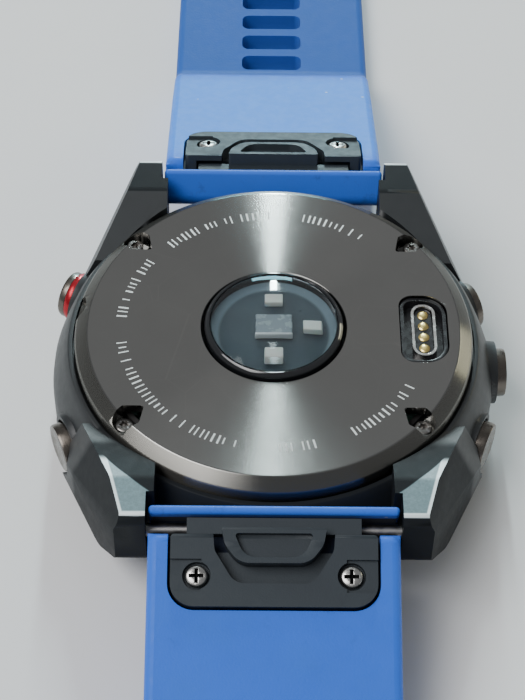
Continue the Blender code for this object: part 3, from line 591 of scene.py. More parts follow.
def dial_material():
    """Dark reflective display with a ring of minute marks, longer at each fifth."""
    material = surface("display", (0.012, 0.016, 0.020), 0.18, vary=0.1, grain=(800, 0.001))
    tree, _, place = parts_of(material)
    x, y = axes_of(tree, place)[:2]
    radius = distance(tree, x, y)
    turn = calc(tree, "DIVIDE", calc(tree, "ARCTAN2", y, x), 2 * pi)
    for count, inner, width in ((60, 13.9, 0.07), (12, 12.6, 0.035)):
        step = calc(tree, "FRACT", calc(tree, "MULTIPLY_ADD", turn, count, 0.5))
        around = calc(tree, "ABSOLUTE", calc(tree, "SUBTRACT", step, 0.5))
        mark = product(tree, calc(tree, "LESS_THAN", around, width),
                       calc(tree, "GREATER_THAN", radius, inner * MM),
                       calc(tree, "LESS_THAN", radius, 15.0 * MM))
        overlay(material, mark, (0.55, 0.60, 0.58), 0.3)
    return material


def sensor_board_material():
    """Blue-black sensor floor with a paler ring near its rim."""
    material = surface("sensor_board", (0.045, 0.070, 0.085), 0.35, vary=0.3, grain=(3000, 0.01))
    tree, _, place = parts_of(material)
    x, y = axes_of(tree, place)[:2]
    radius = distance(tree, x, y)
    return overlay(material, ramp(tree, radius, 5.5, 6.0), (0.22, 0.29, 0.33), 0.3)


def diode_material():
    """Grey silvered chip with a painted highlight along its lower edge."""
    material = surface("photodiode_glass", (0.36, 0.41, 0.43), 0.25, 0.3, 0.15, (4000, 0.01))
    tree, _, place = parts_of(material)
    # painted highlight along the chip's lower edge
    edge = ramp(tree, axes_of(tree, place)[1], -1.15, -1.3)
    return overlay(material, edge, (0.92, 0.92, 0.90), 0.3)


def glass_material(name, colour, roughness=0.02):
    """Clear window with a slight ripple in its gloss."""
    return surface(name, colour, roughness, vary=0.02, grain=(300, 0.0005), spread=0.01,
                   Transmission_Weight=1.0, IOR=1.45)


POLYMER = polymer_material()
STEEL_COVER = cover_material()
SILICONE = silicone_material()
LATCH = surface("latch_plastic", (0.028, 0.036, 0.044), 0.50, vary=0.12, grain=(6000, 0.02),
                Specular_IOR_Level=0.3)
BRIGHT = surface("bright_steel", (0.62, 0.60, 0.58), 0.22, 1.0, 0.08, (6000, 0.004))
# lug bar steel painted darker than the bright steel, as shade between the strap lips and the case
SHADED_BAR_STEEL = surface("shaded_lug_bar_steel", (0.26, 0.255, 0.25), 0.4, 1.0, 0.1, (6000, 0.006))
BRIGHT_SCREW = plate_screw_material()
DARK_SCREW = worn_edges(surface("dark_screw", (0.20, 0.19, 0.18), 0.32, 1.0, 0.2, (6000, 0.006)),
                        (0.6, 0.6, 0.6), 0.2)
BUTTON = worn_edges(surface("button_steel", (0.15, 0.132, 0.115), 0.30, 1.0, 0.15, (6000, 0.004)),
                    (0.75, 0.73, 0.70), 0.18)
BEZEL = worn_edges(surface("bezel_steel", (0.17, 0.165, 0.16), 0.30, 1.0, 0.1, (9000, 0.002),
                           Anisotropic=0.6), (0.5, 0.5, 0.5), 0.2)
RED = surface("start_red", (0.42, 0.015, 0.025), 0.28, 0.6, 0.1, (5000, 0.003))
PORT = surface("port_plastic", (0.012, 0.012, 0.014), 0.3, vary=0.2, grain=(5000, 0.01))
GOLD = surface("contact_gold", (0.80, 0.62, 0.24), 0.3, 1.0, 0.12, (7000, 0.006))
SENSOR_BLACK = surface("sensor_black", (0.010, 0.011, 0.013), 0.10, vary=0.2, grain=(2500, 0.001),
                       spread=0.04, Coat_Weight=0.6, Coat_Roughness=0.05)
SENSOR_GLASS = glass_material("sensor_glass", (0.86, 0.92, 0.95), 0.05)
CRYSTAL = glass_material("crystal_glass", (0.93, 0.95, 0.97))
LAMP = surface("lamp_lens", (0.86, 0.84, 0.76), 0.5, vary=0.05, grain=(4000, 0.01),
               Subsurface_Weight=0.2, Subsurface_Scale=0.0005)
DIODE = diode_material()
RUBBER = surface("seal_rubber", (0.03, 0.03, 0.03), 0.7, grain=(4000, 0.02))
REAR_RUBBER = surface("rear_seal_rubber", (0.03, 0.028, 0.028), 0.7, grain=(4000, 0.02))
PLATED = surface("plated_parts", (0.62, 0.62, 0.60), 0.3, 1.0, 0.08, (5000, 0.004))
CERAMIC = surface("ceramic", (0.70, 0.66, 0.58), 0.6, grain=(5000, 0.02))
FOIL = surface("battery_foil", (0.55, 0.56, 0.58), 0.38, 0.8, 0.08, (2500, 0.02))
BOARD = board_material("circuit_board", (0.015, 0.10, 0.055))
SENSOR_BOARD = sensor_board_material()
DIAL = dial_material()
INK = surface("cover_mark_ink", (0.62, 0.63, 0.62), 0.45, 0.3, 0.08, (5000, 0.002))


# ---------- case

def radial(piece, angle):
    """Point an object's own Z axis outward from the case at a button's height."""
    piece.rotation_euler = (0, pi / 2, radians(angle))
    piece.location = (0, 0, BUTTON_Z)
    return piece


def lug_form():
    """Four lugs: a side profile extruded across, its outer flank cut by two planes."""
    side = rounded([(12 * MM, 4.4 * MM, 0), (21.5 * MM, 4.4 * MM, 3 * MM),
                    (LUG_TIP_Y, 9.0 * MM, 1.5 * MM), (LUG_TIP_Y, 15.3 * MM, 0.5 * MM),
                    (25.8 * MM, LUG_TOP, 0.5 * MM), (21 * MM, LUG_TOP, 3 * MM), (12 * MM, 13.6 * MM, 0)])
    lug = slab("lug_form", side, LUG_INNER_X - 0.8 * MM, 23.5 * MM, "YZ")
    trim(lug, (16.6 * MM, LUG_TIP_Y, 9 * MM), (0.904, 0.428, 0))
    trim(lug, (15.9 * MM, 25.8 * MM, LUG_TOP), (0.89, 0.233, 0.393))
    return mirrored(lug)


def case_body():
    """Middle case with lugs and tapered button guards, its edges eased."""
    side = [(0, CASE_RIM_TOP), (22.9 * MM, CASE_RIM_TOP), (23.05 * MM, 13.8 * MM),
            (23.5 * MM, 13.1 * MM), (24.25 * MM, 11.2 * MM), (24.8 * MM, 9.6 * MM),
            (CASE_RADIUS, 8.2 * MM), (CASE_RADIUS, 5.6 * MM), (24.5 * MM, CASE_BOTTOM), (0, CASE_BOTTOM)]
    body = turned("watch_case", side)
    combine(body, lug_form(), "UNION")
    for name, (angle, _, guard_end) in BUTTONS.items():
        guard = rod(name + "_guard", 4.3 * MM, 19 * MM, guard_end, sides=64, tip=3.55 * MM)
        combine(body, radial(guard, angle), "UNION")
    trim(body, (0, 0, CASE_BOTTOM), (0, 0, -1))
    hollow = [(0, 22 * MM), (22.5 * MM, 22 * MM), (22.5 * MM, SHELF_TOP), (18.6 * MM, SHELF_TOP),
              (18.6 * MM, 9.8 * MM), (20.9 * MM, 9.8 * MM), (20.9 * MM, 3 * MM), (0, 3 * MM)]
    combine(body, turned("case_hollow", hollow))
    room = 12 * MM
    gap = box("strap_room", (2 * LUG_INNER_X, room, 20 * MM), (0, 22.9 * MM + room / 2, 12.6 * MM))
    combine(body, mirrored(gap, x=False))
    soften(body, 0.22 * MM, 2, 28)
    bar_bore = rod("bar_bore", 0.95 * MM, -14.9 * MM, 14.9 * MM, "X", (0, BAR_Y, BAR_Z), 32)
    combine(body, mirrored(bar_bore, x=False))
    for name, (angle, face, guard_end) in BUTTONS.items():
        bore = rod(name + "_bore", BUTTON_RADIUS + GAP, guard_end - 1.8 * MM, face + 3 * MM, sides=64)
        combine(body, radial(bore, angle))
        stem = rod(name + "_stem_bore", 1.2 * MM, 18 * MM, guard_end - MM, sides=32)
        combine(body, radial(stem, angle))
    settle(body, CASE, "case_polymer", POLYMER, "case_body")


def bezel():
    """Front ring with twelve hour notches and an eased rim."""
    ring = mm((19.2, 3.5), (24.2, 3.5), (24.4, 3.3), (24.4, 2.1), (24.15, 1.6), (23.4, 0.9),
              (21.0, 0.12), (20.6, 0), (18.8, 0), (18.6, 0.05), (18.0, 0.6), (18.0, 2.2), (19.2, 2.2))
    made = turned("bezel_ring", ring, ring=True)
    for hour in range(12):
        angle = radians(30 * hour)
        centre = (22.0 * MM * cos(angle), 22.0 * MM * sin(angle), 0.15 * MM)
        notch = box("hour_notch", mm(2.0, 0.45, 0.9), centre)
        notch.rotation_euler = (0, radians(18), angle)
        combine(made, notch)
    settle(made, CASE, "bezel_steel", BEZEL, "bezel")


def rear_cover():
    """Steel back plate with its sensor hole, charging hole, screw pockets and vent notch."""
    section = mm((8.15, 16.1), (20.6, 16.1), (20.8, 16.04), (22.0, 15.1), (22.2, 14.85), (22.2, 13.4),
                 (19.9, 13.4), (19.9, 15.0), (8.05, 15.0), (8.05, 16.0))
    cover = turned("back_plate", section, 160, ring=True)
    outline = rounded(mm((-2.7, 0, 0.3), (-0.9, -1.5, 0.4), (1.2, -1.2, 1.15), (1.2, 1.2, 1.15),
                         (-0.9, 1.5, 0.4)))
    pocket = slab("screw_pocket", outline, 14.0 * MM, 18 * MM)
    pocket.location = (SCREW_X, SCREW_Y, 0)
    pocket.rotation_euler.z = atan2(SCREW_Y, SCREW_X)
    combine(cover, mirrored(pocket))
    hole = slab("port_hole", port_outline(0), 14.2 * MM, 17 * MM)
    hole.location = (PORT_X, PORT_Y, 0)
    combine(cover, hole)
    notch = rounded(mm((-23, 0.6, 0), (-21.1, 2.9, 0.4), (-21.1, 4.9, 0.3), (-23, 4.9, 0)))
    combine(cover, slab("vent_notch", notch, 14.2 * MM, 17 * MM))
    soften(cover, 0.1 * MM, 2, 40)
    settle(cover, CASE, "cover_steel", STEEL_COVER, "rear_cover")


def cover_marks():
    """Ring of short plain strokes, in groups, standing a hair proud of the back plate."""
    random.seed(7)
    shape = bmesh.new()
    radius = 17.0 * MM
    height = 16.1 * MM
    for start, end in ((136, 92), (81, 54), (178, 146), (256, 189), (286, 272), (332, 300)):
        angle = min(start, end)
        while angle < max(start, end):
            across = random.choice((0.16, 0.16, 0.22)) * MM
            tall = random.choice((1.15, 1.15, 0.85)) * MM
            size = Matrix.Diagonal((tall, across, 0.03 * MM, 1))
            turn = Matrix.Rotation(radians(angle), 4, "Z")
            place = turn @ Matrix.Translation((radius, 0, height)) @ size
            bmesh.ops.create_cube(shape, size=1.0, matrix=place)
            angle += random.choice((1.9, 2.3, 2.3, 4.2))
    settle(shaped("back_plate_marks", shape), CASE, "cover_steel", INK)


def star_socket(name, radius, low, high):
    """Cutter for a six-lobed driver recess."""
    outline = []
    for step in range(72):
        angle = radians(5 * step)
        reach = radius * (0.83 + 0.17 * cos(6 * angle))
        outline.append((reach * cos(angle), reach * sin(angle)))
    return slab(name, outline, low, high)


def cover_screws():
    """Four star-socket screws that hold the cover down."""
    for number, (x, y) in enumerate(SCREW_SIDES, start=1):
        shape = mm((0, 14.95), (0.78, 14.95), (0.90, 14.88), (0.94, 14.75), (0.94, 14.3), (0.42, 14.3),
                   (0.42, 10.8), (0, 10.6))
        screw = turned("cover_screw_%d" % number, shape, 48)
        combine(screw, star_socket("socket", 0.56 * MM, 14.5 * MM, 15.5 * MM))
        screw.location = (x * SCREW_X, y * SCREW_Y, 0)
        settle(bake(screw), CASE, "dark_screw", DARK_SCREW, "rear_cover_screw_%d" % number)


# ---------- sensor and charging port

def sensor():
    """Gloss black ring, clear domed window, blue-black floor, three lamps and a photodiode."""
    wall = mm((7.15, 16.72), (7.3, 16.78), (7.5, 16.66), (7.68, 16.45), (7.75, 16.2), (7.75, 13.6),
              (7.15, 13.6))
    settle(turned("sensor_bezel", wall, ring=True), CASE, "sensor_black", SENSOR_BLACK, "sensor_ring")
    dome = mm((0, 17.5), (3.0, 17.5), (4.0, 17.44), (5.0, 17.3), (5.9, 17.1), (6.5, 16.9), (7.02, 16.7),
              (7.05, 16.2), (0, 16.2))
    settle(turned("sensor_lens", dome), CASE, "sensor_glass", SENSOR_GLASS, "sensor_window")
    floor = turned("sensor_floor", mm((0, 14.8), (6.7, 14.8), (6.85, 14.7), (6.85, 14.1), (0, 14.1)), 96)
    settle(floor, CASE, "circuit_board", SENSOR_BOARD, "sensor_board")
    lamp = mm(2.0, 1.3, 0.8)
    pieces = {"sensor_led_top": (lamp, 0, 3.8), "sensor_led_bottom": (lamp, 0, -3.8),
              "sensor_led_side": (lamp, 4.2, 0), "photodiode": (mm(4.1, 2.9, 0.8), 0, 0)}
    for name, (size, x, y) in pieces.items():
        chip = soften(box(name + "_lens", size, (x * MM, y * MM, 15.5 * MM)), 0.14 * MM, 3)
        diode = name == "photodiode"
        settle(chip, CASE, "photodiode_glass" if diode else "lamp_lens", DIODE if diode else LAMP, name)


def port_outline(inset):
    """D-shaped outline of the charging port about its own centre, drawn in by inset."""
    side = 2.7 * MM - inset
    half = 4.9 * MM - inset
    tight = 1.6 * MM - inset
    wide = 2.6 * MM - inset
    return rounded([(-side, -half, tight), (side, -half, wide), (side, half, wide),
                    (-side, half, tight)])


def charging_port():
    """Recessed charging socket: black tray, metal collar, black tongue and four gold contacts."""
    tray = slab("port_tray", port_outline(0.15 * MM), 14.1 * MM, 15.8 * MM)
    combine(tray, slab("port_recess", port_outline(0.55 * MM), 14.6 * MM, 16.5 * MM))
    tray.location = (PORT_X, PORT_Y, 0)
    soften(bake(tray), 0.12 * MM, 2)
    settle(tray, CASE, "port_plastic", PORT, "charging_port")
    x = PORT_X + 0.05 * MM
    y = PORT_Y + 0.35 * MM
    collar = slab("port_collar", stadium(7.5 * MM, 2.7 * MM), 14.62 * MM, 15.5 * MM)
    combine(collar, slab("core", stadium(6.9 * MM, 2.1 * MM), 14 * MM, 16 * MM))
    collar.location = (x, y, 0)
    soften(bake(collar), 0.08 * MM, 2)
    settle(collar, CASE, "bright_steel", BRIGHT, "charging_collar")
    tongue = slab("port_insulator", stadium(6.7 * MM, 1.9 * MM), 14.62 * MM, 15.1 * MM)
    tongue.location = (x, y, 0)
    settle(soften(bake(tongue), 0.06 * MM, 2), CASE, "port_plastic", PORT)
    for number in range(4):
        dome = mm((0, 15.3), (0.3, 15.29), (0.5, 15.24), (0.6, 15.15), (0.62, 15.0), (0, 15.0))
        contact = turned("port_contact_%d" % (number + 1), dome, 40)
        contact.location = (x, y + (number - 1.5) * 1.6 * MM, 0)
        settle(bake(contact), CASE, "contact_gold", GOLD, "charging_contact_%d" % (number + 1))


def buttons():
    """Five push buttons with eased, slightly dished faces; one carries a red band."""
    for name, (angle, face, guard_end) in BUTTONS.items():
        base = guard_end - 0.7 * MM
        side = [(BUTTON_RADIUS - 0.1 * MM, face - 0.08 * MM), (BUTTON_RADIUS, face - 0.3 * MM),
                (BUTTON_RADIUS, base)]
        if name == "button_start":
            upper = face - 0.85 * MM
            lower = upper - 1.05 * MM
            side[2:2] = [(BUTTON_RADIUS, upper), (2.0 * MM, upper), (2.0 * MM, lower),
                         (BUTTON_RADIUS, lower)]
            band = [(2.05 * MM, upper - 0.08 * MM), (2.8 * MM, upper - 0.08 * MM),
                    (2.9 * MM, upper - 0.2 * MM), (2.9 * MM, lower + 0.2 * MM),
                    (2.8 * MM, lower + 0.08 * MM), (2.05 * MM, lower + 0.08 * MM)]
            ring = bake(radial(turned("start_band", band, 64, ring=True), angle))
            settle(ring, name, "start_red", RED, "button_start_ring")
        profile = [(0, face - 0.14 * MM), (1.2 * MM, face - 0.12 * MM), (1.9 * MM, face - 0.05 * MM),
                   (2.2 * MM, face)] + side
        profile += [(0.9 * MM, base), (0.9 * MM, 20.3 * MM), (0, 20.3 * MM)]
        cap = bake(radial(turned(name + "_cap", profile, 72), angle))
        settle(cap, name, "button_steel", BUTTON, name)


# ---------- front glass and display

def crystal_and_display():
    """Front glass with an eased rim, and the display behind it."""
    glass = mm((0, 2.1), (17.6, 2.1), (17.7, 2.0), (17.7, 0.62), (17.6, 0.5), (17.3, 0.32), (17.0, 0.3),
               (0, 0.3))
    settle(turned("front_glass", glass), CASE, "crystal_glass", CRYSTAL, "crystal")
    panel = mm((0, 3.9), (15.3, 3.9), (15.4, 3.8), (15.4, 2.6), (15.3, 2.5), (0, 2.5))
    settle(turned("display_module", panel), CASE, "display", DIAL, "display_panel")


# ---------- strap

def sloped(along, above, radius=0.0):
    """Turn strap coordinates on its drooping part into (outward, up) from the lug bar."""
    outward = along * cos(STRAP_DROOP) + above * sin(STRAP_DROOP)
    upward = above * cos(STRAP_DROOP) - along * sin(STRAP_DROOP)
    return (outward, upward, radius)


def hinge_mark(name, side):
    """Empties at a lug bar: one square to the case, one tilted along the drooping strap."""
    hinge = link(name + "_hinge", None)
    hinge.location = (0, side * BAR_Y, BAR_Z)
    hinge.rotation_euler.z = 0 if side > 0 else pi
    slope = link(name + "_slope", None)
    slope.rotation_euler.x = -STRAP_DROOP
    slope.parent = hinge
    return hinge, slope


def strap_section(rest, end_corners):
    """Side profile of a strap half: lip, cradle around the bar, thick slope, thin flat run."""
    outer = LIP_INNER + 0.95 * MM
    under_flat = rest - BAR_Z
    slope = tan(STRAP_DROOP)
    under_start = sloped(0, -STRAP_UNDER)
    bend = under_start[0] + (under_start[1] - under_flat) / slope
    top_start = sloped(0, STRAP_TOP)
    thin_top = under_flat + STRAP_THIN
    step = THICK_END - BAR_Y
    step_top = top_start[1] - (step - top_start[0]) * slope
    corners = [sloped(-outer, -STRAP_UNDER, 1.9 * MM), (bend, under_flat, 14 * MM)]
    corners += end_corners
    if step_top - thin_top > 0.5 * MM:
        corners += [(step + 2.4 * MM, thin_top, 2.0 * MM), (step, step_top, 1.2 * MM)]
    else:
        meet = top_start[0] + (top_start[1] - thin_top) / slope
        corners += [(meet, thin_top, 20 * MM)]
    corners += [sloped(LIP_INNER, STRAP_TOP, 1.0 * MM), sloped(LIP_INNER, -LIP_INNER, 0.98 * MM),
                sloped(-LIP_INNER, -LIP_INNER, 0.98 * MM), sloped(-LIP_INNER, LIP_TOP, 0.46 * MM),
                sloped(-outer, LIP_TOP, 0.46 * MM)]
    return rounded(corners)


def round_outline(strap):
    """Round a strap's long edges, more tightly at its lip."""
    real = radians(50)
    for lip, width, steps in ((False, 0.95 * MM, 5), (True, 0.42 * MM, 4)):
        shape = bmesh.new()
        shape.from_mesh(strap.data)
        edges = [e for e in shape.edges if len(e.link_faces) == 2 and e.calc_face_angle(0) > real
                 and (min(abs(v.co.y) for v in e.verts) < LIP_END) == lip]
        bmesh.ops.bevel(shape, geom=edges, offset=width, offset_type="OFFSET", segments=steps,
                        profile=0.5, affect="EDGES", clamp_overlap=False)
        shape.to_mesh(strap.data)
        shape.free()
    return bake(strap)


def strap_half(name, hinge, slope, rest, end_corners, plan):
    """A strap half cut to its outline from above, with room for its latch plate and screws."""
    strap = slab(name, strap_section(rest, end_corners), -15 * MM, 15 * MM, "YZ", hinge)
    combine(strap, slab(name + "_plan", plan, -20 * MM, 20 * MM, parent=hinge), "INTERSECT")
    round_outline(strap)
    side = PLATE_HALF_WIDTH + GAP
    seat = symmetric((side, 0.4 * MM, 0), (side, PLATE_END + GAP, 2.8 * MM))
    combine(strap, slab(name + "_plate_room", seat, PLATE_UNDER - GAP, 8 * MM, parent=slope))
    for x in (-PLATE_SCREW_X, PLATE_SCREW_X):
        head = (x, PLATE_SCREW_ALONG, 0)
        combine(strap, rod(name + "_screw_bore", 0.8 * MM, -0.7 * MM, 3 * MM, "Z", head, 32, slope))
    return strap


def long_strap(hinge, slope):
    """Tip half of the strap, with one row of slots for the buckle's tongue."""
    reach = LONG_REACH - BAR_Y
    under = -BAR_Z
    ends = [(reach, under, 0), (reach, under + STRAP_THIN, 0)]
    plan = symmetric((STRAP_HALF_WIDTH, -6 * MM, 0), (STRAP_HALF_WIDTH, 22 * MM, 0),
                     (12.0 * MM, reach + 0.01 * MM, 11.5 * MM))
    strap = strap_half("strap_tip_half", hinge, slope, 0, ends, plan)
    opening = symmetric(*mm((4, -1.4, 0.9), (4, 1.4, 0.9)))
    slot = slab("strap_slot", opening, -2 * MM, 9 * MM)
    slot.location = (0, SLOT_START, 0)
    row = slot.modifiers.new("Row", "ARRAY")
    row.count = SLOT_COUNT
    row.use_relative_offset = False
    row.use_constant_offset = True
    row.constant_offset_displace = (0, SLOT_PITCH, 0)
    combine(strap, slot)
    soften(strap, 0.22 * MM, 2, 50)
    settle(strap, "long_strap", "strap_silicone", SILICONE, "long_strap")


def short_strap(hinge, slope):
    """Buckle half of the strap: its end barrel holds the buckle pin on both sides of the tongue."""
    barrel = BUCKLE_Y - BAR_Y
    axis = BUCKLE_Z - BAR_Z
    radius = 2.2 * MM
    under = SHORT_REST - BAR_Z
    ends = [(barrel - 3.6 * MM, under, 1.0 * MM), (barrel - 2.0 * MM, axis - radius, 1.0 * MM),
            (barrel + radius, axis - radius, 2.15 * MM), (barrel + radius, axis + radius, 2.15 * MM),
            (barrel - 2.0 * MM, axis + radius, 1.0 * MM),
            (barrel - 3.6 * MM, under + STRAP_THIN, 1.0 * MM)]
    end = 12.2 * MM
    plan = symmetric((STRAP_HALF_WIDTH, -6 * MM, 0), (STRAP_HALF_WIDTH, 22 * MM, 0),
                     (end, barrel - 5 * MM, 0), (end, barrel + 8 * MM, 0))
    strap = strap_half("strap_buckle_half", hinge, slope, SHORT_REST, ends, plan)
    combine(strap, rod("pin_bore", PIN_BORE, -20 * MM, 20 * MM, "X", (0, -BUCKLE_Y, BUCKLE_Z)))
    combine(strap, box("tongue_room", mm(7.8, 12, 12), (0, -BUCKLE_Y - 2.8 * MM, BUCKLE_Z)))
    soften(strap, 0.22 * MM, 2, 50)
    settle(strap, "short_strap", "strap_silicone", SILICONE, "short_strap")


def latch_plate(name, slope, body):
    """Black plate screwed to a strap's end, with a deep D-shaped bay for the slider."""
    side = PLATE_HALF_WIDTH
    shape = symmetric((side, PLATE_START, 0.4 * MM), (side, PLATE_END, 2.5 * MM))
    plate = slab(name + "_frame", shape, PLATE_UNDER, PLATE_TOP, parent=slope)
    bay = symmetric(*mm((6.3, 0.5, 0), (6.1, 3.0, 1.5), (4.0, 6.4, 1.8)))
    tools = [slab(name + "_bay", bay, PLATE_UNDER + 0.6 * MM, 6 * MM, parent=slope),
             box(name + "_notch", mm(18.6, 2.4, 2.0), mm(0, 1.7, 2.0), slope)]
    for x in (-1, 1):
        pad = (x * 9.4 * MM, PLATE_SCREW_ALONG, 4.3 * MM)
        tools.append(box(name + "_pad", mm(4.0, 3.4, 2.0), pad, slope))
    for tool in tools:
        combine(plate, tool)
    soften(plate, 0.16 * MM, 3, 40)
    for x in (-1, 1):
        head = (x * PLATE_SCREW_X, PLATE_SCREW_ALONG, 0)
        combine(plate, rod(name + "_counterbore", 1.45 * MM, 2.6 * MM, 6 * MM, "Z", head, 48, slope))
        combine(plate, rod(name + "_hole", 0.8 * MM, 0, 3 * MM, "Z", head, 32, slope))
    settle(plate, body, "latch_plastic", LATCH, name)


def latch_slider(name, slope, body):
    """Thumb slider: a D-shaped button with a finger scoop, on a flange that covers the bar."""
    grip = symmetric(*mm((5.4, 0.7, 0.2), (5.05, 2.5, 2.0), (3.6, 4.4, 2.2)))
    slider = slab(name + "_thumb", grip, 2.5 * MM, 4.2 * MM, parent=slope)
    flange = box(name + "_flange", mm(18.0, 1.7, 1.1), mm(0, 0.2, 2.15), slope)
    combine(slider, flange, "UNION")
    scoop = symmetric(*mm((4.1, 1.3, 0.3), (3.0, 3.8, 1.8)))
    combine(slider, slab(name + "_scoop", scoop, 3.4 * MM, 5 * MM, parent=slope))
    soften(slider, 0.14 * MM, 3, 40)
    settle(slider, body, "latch_plastic", LATCH, name)


def plate_screws(name, slope, body):
    """Two cross-head screws that hold a latch plate to its strap."""
    for number, x in enumerate((-PLATE_SCREW_X, PLATE_SCREW_X), start=1):
        shape = mm((0, 3.56), (0.6, 3.54), (0.95, 3.47), (1.1, 3.36), (1.15, 3.2), (1.15, 2.9),
                   (0.5, 2.9), (0.5, -0.2), (0, -0.4))
        node = "%s_plate_screw_%d" % (name, number)
        screw = turned(node + "_head", shape, 48)
        screw.parent = slope
        screw.location = (x, PLATE_SCREW_ALONG, 0)
        for size in (mm(1.5, 0.36, 1), mm(0.36, 1.5, 1.02)):
            combine(screw, box(node + "_cross", size, (x, PLATE_SCREW_ALONG, 3.6 * MM), slope))
        soften(screw, 0.05 * MM, 2, 50)
        settle(screw, body, "bright_screw", BRIGHT_SCREW, node)


# ---------- buckle and keepers

def buckle():
    """Buckle frame, tongue and pin at the end of the short strap."""
    axle = -BUCKLE_Y
    pin = soften(rod("buckle_axle", 0.8 * MM, -14.6 * MM, 14.6 * MM, "X", (0, axle, BUCKLE_Z)),
                 0.15 * MM)
    settle(pin, "short_strap", "bright_steel", BRIGHT, "buckle_pin")
    inner = 12.8 * MM
    outer = 15.4 * MM
    far = BUCKLE_Y + 11.6 * MM
    arm = rounded([(axle + 2.2 * MM, 1.3 * MM, 1.9 * MM), (axle + 2.2 * MM, 5.3 * MM, 1.9 * MM),
                   (axle - 2 * MM, 5.3 * MM, 5 * MM), (-far - 1.6 * MM, 2.2 * MM, 1.0 * MM),
                   (-far - 1.6 * MM, 0.2 * MM, 0.9 * MM), (-far + 2 * MM, 0.2 * MM, 3 * MM)])
    loop = slab("buckle_loop", arm, -outer, outer, "YZ")
    combine(loop, box("buckle_window", (2 * inner, 16 * MM, 12 * MM), (0, -far + 9.2 * MM, 3 * MM)))
    plan = symmetric((outer, axle + 6 * MM, 0), (outer, -far - 1.61 * MM, 2.5 * MM))
    combine(loop, slab("buckle_plan", plan, -3 * MM, 12 * MM), "INTERSECT")
    soften(loop, 0.35 * MM, 3, 40)
    combine(loop, rod("frame_bore", PIN_BORE, -14.9 * MM, 14.9 * MM, "X", (0, axle, BUCKLE_Z)))
    settle(loop, "buckle", "bright_steel", BRIGHT, "buckle_frame")
    side = rounded([(axle + 2.0 * MM, 1.5 * MM, 1.7 * MM), (axle + 2.0 * MM, 5.1 * MM, 1.7 * MM),
                    (-far - 0.9 * MM, 4.9 * MM, 0.6 * MM), (-far - 0.9 * MM, 3.4 * MM, 0.6 * MM),
                    (axle - 3.2 * MM, 3.4 * MM, 2 * MM), (axle - 1.6 * MM, 1.5 * MM, 1.5 * MM)])
    tongue = slab("buckle_prong", side, -3.4 * MM, 3.4 * MM, "YZ")
    soften(tongue, 0.35 * MM, 3, 40)
    combine(tongue, rod("tongue_bore", PIN_BORE, -6 * MM, 6 * MM, "X", (0, axle, BUCKLE_Z)))
    settle(tongue, "tongue", "bright_steel", BRIGHT, "buckle_tongue")


def keeper(node, middle, body):
    """Silicone loop around the short strap, with room for the strap's tip above it."""
    width = 5 * MM
    shell = symmetric(*mm((14.45, 0, 1.6), (14.45, 9.2, 1.6)))
    space = symmetric(*mm((13.1, 1.4, 0.5), (13.1, 8.0, 0.5)))
    loop = slab(node + "_loop", shell, middle - width / 2, middle + width / 2, "XZ")
    combine(loop, slab(node + "_space", space, middle - width, middle + width, "XZ"))
    soften(loop, 0.35 * MM, 3, 40)
    settle(loop, body, "strap_silicone", SILICONE, node)


def lug_bar(node, side):
    """Steel bar between two lugs that a strap half turns on."""
    bar = rod(node + "_pin", 0.7 * MM, -14.6 * MM, 14.6 * MM, "X", (0, side * BAR_Y, BAR_Z))
    settle(soften(bar, 0.12 * MM), CASE, "bright_steel", SHADED_BAR_STEEL, node)


def dress(materials):
    """Give the kept CAD nodes inside the case their own materials."""
    for node, material in materials.items():
        shown = frame["nodes"][node]
        shown.data.materials.clear()
        shown.data.materials.append(material)


# ---------- assembly

case_body()
bezel()
crystal_and_display()
rear_cover()
cover_marks()
cover_screws()
sensor()
charging_port()
buttons()
lug_bar("lug_bar_long", 1)
lug_bar("lug_bar_short", -1)
for half, half_side in (("long", 1), ("short", -1)):
    strap_hinge, strap_slope = hinge_mark(half, half_side)
    if half_side > 0:
        long_strap(strap_hinge, strap_slope)
    else:
        short_strap(strap_hinge, strap_slope)
    latch_plate(half + "_latch_plate", strap_slope, half + "_strap")
    latch_slider(half + "_latch_slider", strap_slope, half + "_latch")
    plate_screws(half, strap_slope, half + "_strap")
    for helper in (strap_slope, strap_hinge):
        bpy.data.objects.remove(helper, do_unlink=True)
buckle()
keeper("fixed_keeper", 95.5 * MM, "short_strap")
keeper("sliding_keeper", 84 * MM, "sliding_keeper")
dress({"crystal_gasket": RUBBER, "chapter_ring": POLYMER, "inner_frame": POLYMER, "main_board": BOARD,
       "shield_can": PLATED, "gps_antenna": CERAMIC, "vibration_motor": PLATED, "buzzer": GOLD,
       "battery": FOIL, "rear_gasket": REAR_RUBBER})


# ---------- floor, light and camera

def pale_floor():
    """Plain pale ground that the watch lies on."""
    mesh = bpy.data.meshes.new("floor")
    half = 4.0
    mesh.from_pydata([(-half, -half, 0), (half, -half, 0), (half, half, 0), (-half, half, 0)], [],
                     [(0, 1, 2, 3)])
    floor = link("floor", mesh)
    mesh.materials.append(surface("floor_paper", (0.80, 0.80, 0.80), 0.9, vary=0.01, grain=(400, 0.01)))
    floor.location.z = -0.02 * MM


def toward(azimuth, elevation):
    """Unit vector out to an azimuth and elevation in degrees; azimuth 0 is on -Y."""
    turn = radians(azimuth)
    tilt = radians(elevation)
    return Vector((sin(turn) * cos(tilt), -cos(turn) * cos(tilt), sin(tilt)))


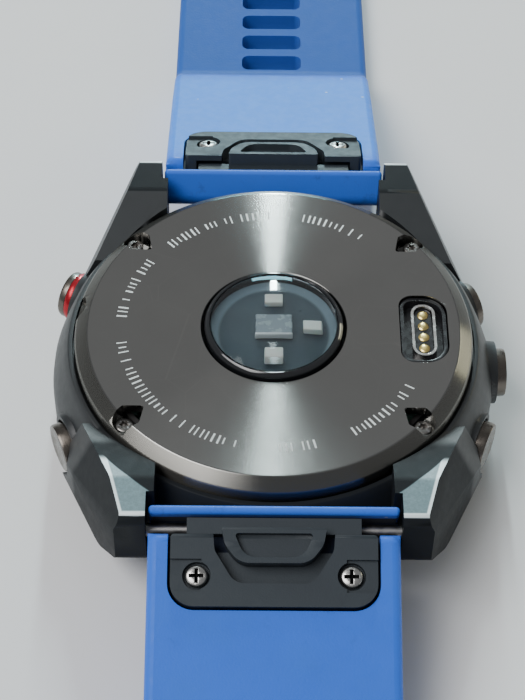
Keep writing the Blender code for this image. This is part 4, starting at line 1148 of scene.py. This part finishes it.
def softbox(name, azimuth, elevation, far, size, power, colour=(1, 1, 1)):
    """Area light aimed at the watch from an azimuth, an elevation and a distance."""
    data = bpy.data.lights.new(name, "AREA")
    data.shape = "RECTANGLE"
    data.size, data.size_y = size
    data.energy = power
    data.color = colour
    lamp = link(name, data)
    away = toward(azimuth, elevation)
    lamp.location = away * far
    lamp.rotation_mode = "QUATERNION"
    lamp.rotation_quaternion = away.to_track_quat("Z", "Y")


def pale_world():
    """Even, pale surroundings."""
    world = bpy.data.worlds.new("studio")
    world.use_nodes = True
    back = world.node_tree.nodes["Background"]
    back.inputs["Color"].default_value = (0.86, 0.89, 0.92, 1)
    back.inputs["Strength"].default_value = 0.30
    bpy.context.scene.world = world


def photo_camera():
    """Camera above the back of the case, turned slightly about its own axis."""
    target = Vector(mm(-1.195, 1.618, 10.0))
    back = toward(-0.668, 49.849)
    roll = radians(1.001)
    level = (-back).cross(Vector((0, 0, 1))).normalized()
    rise = level.cross(-back)
    across = level * cos(roll) + rise * sin(roll)
    upward = rise * cos(roll) - level * sin(roll)
    data = bpy.data.cameras.new("camera")
    data.sensor_width = 36
    data.lens = 99.22
    data.clip_start = 1 * MM
    data.clip_end = 20
    camera = link("camera", data)
    camera.matrix_world = Matrix((across, upward, back)).transposed().to_4x4()
    camera.location = target + back * 220.19 * MM
    bpy.context.scene.camera = camera


STREAK_AZIMUTH = 179.25

pale_floor()
pale_world()
for light, height, length, watts in (("key_light", 26, 0.30, 5.6), ("streak_light", 62, 0.12, 0.12)):
    softbox(light, STREAK_AZIMUTH, height, 0.9, (0.03, length), watts, (0.80, 0.98, 1.0))
softbox("front_fill", -62, 56, 1.1, (0.9, 0.6), 9.0)
softbox("back_light", 180, 52, 1.2, (0.8, 0.5), 0.20)
softbox("low_light", 180, 9, 1.0, (0.25, 0.18), 1.4, (0.34, 0.84, 1.0))
softbox("left_fill", -70, 62, 1.2, (0.7, 0.5), 3.0)
softbox("right_fill", 122, 14, 1.1, (0.35, 0.25), 1.6, (1.0, 0.97, 0.70))
photo_camera()
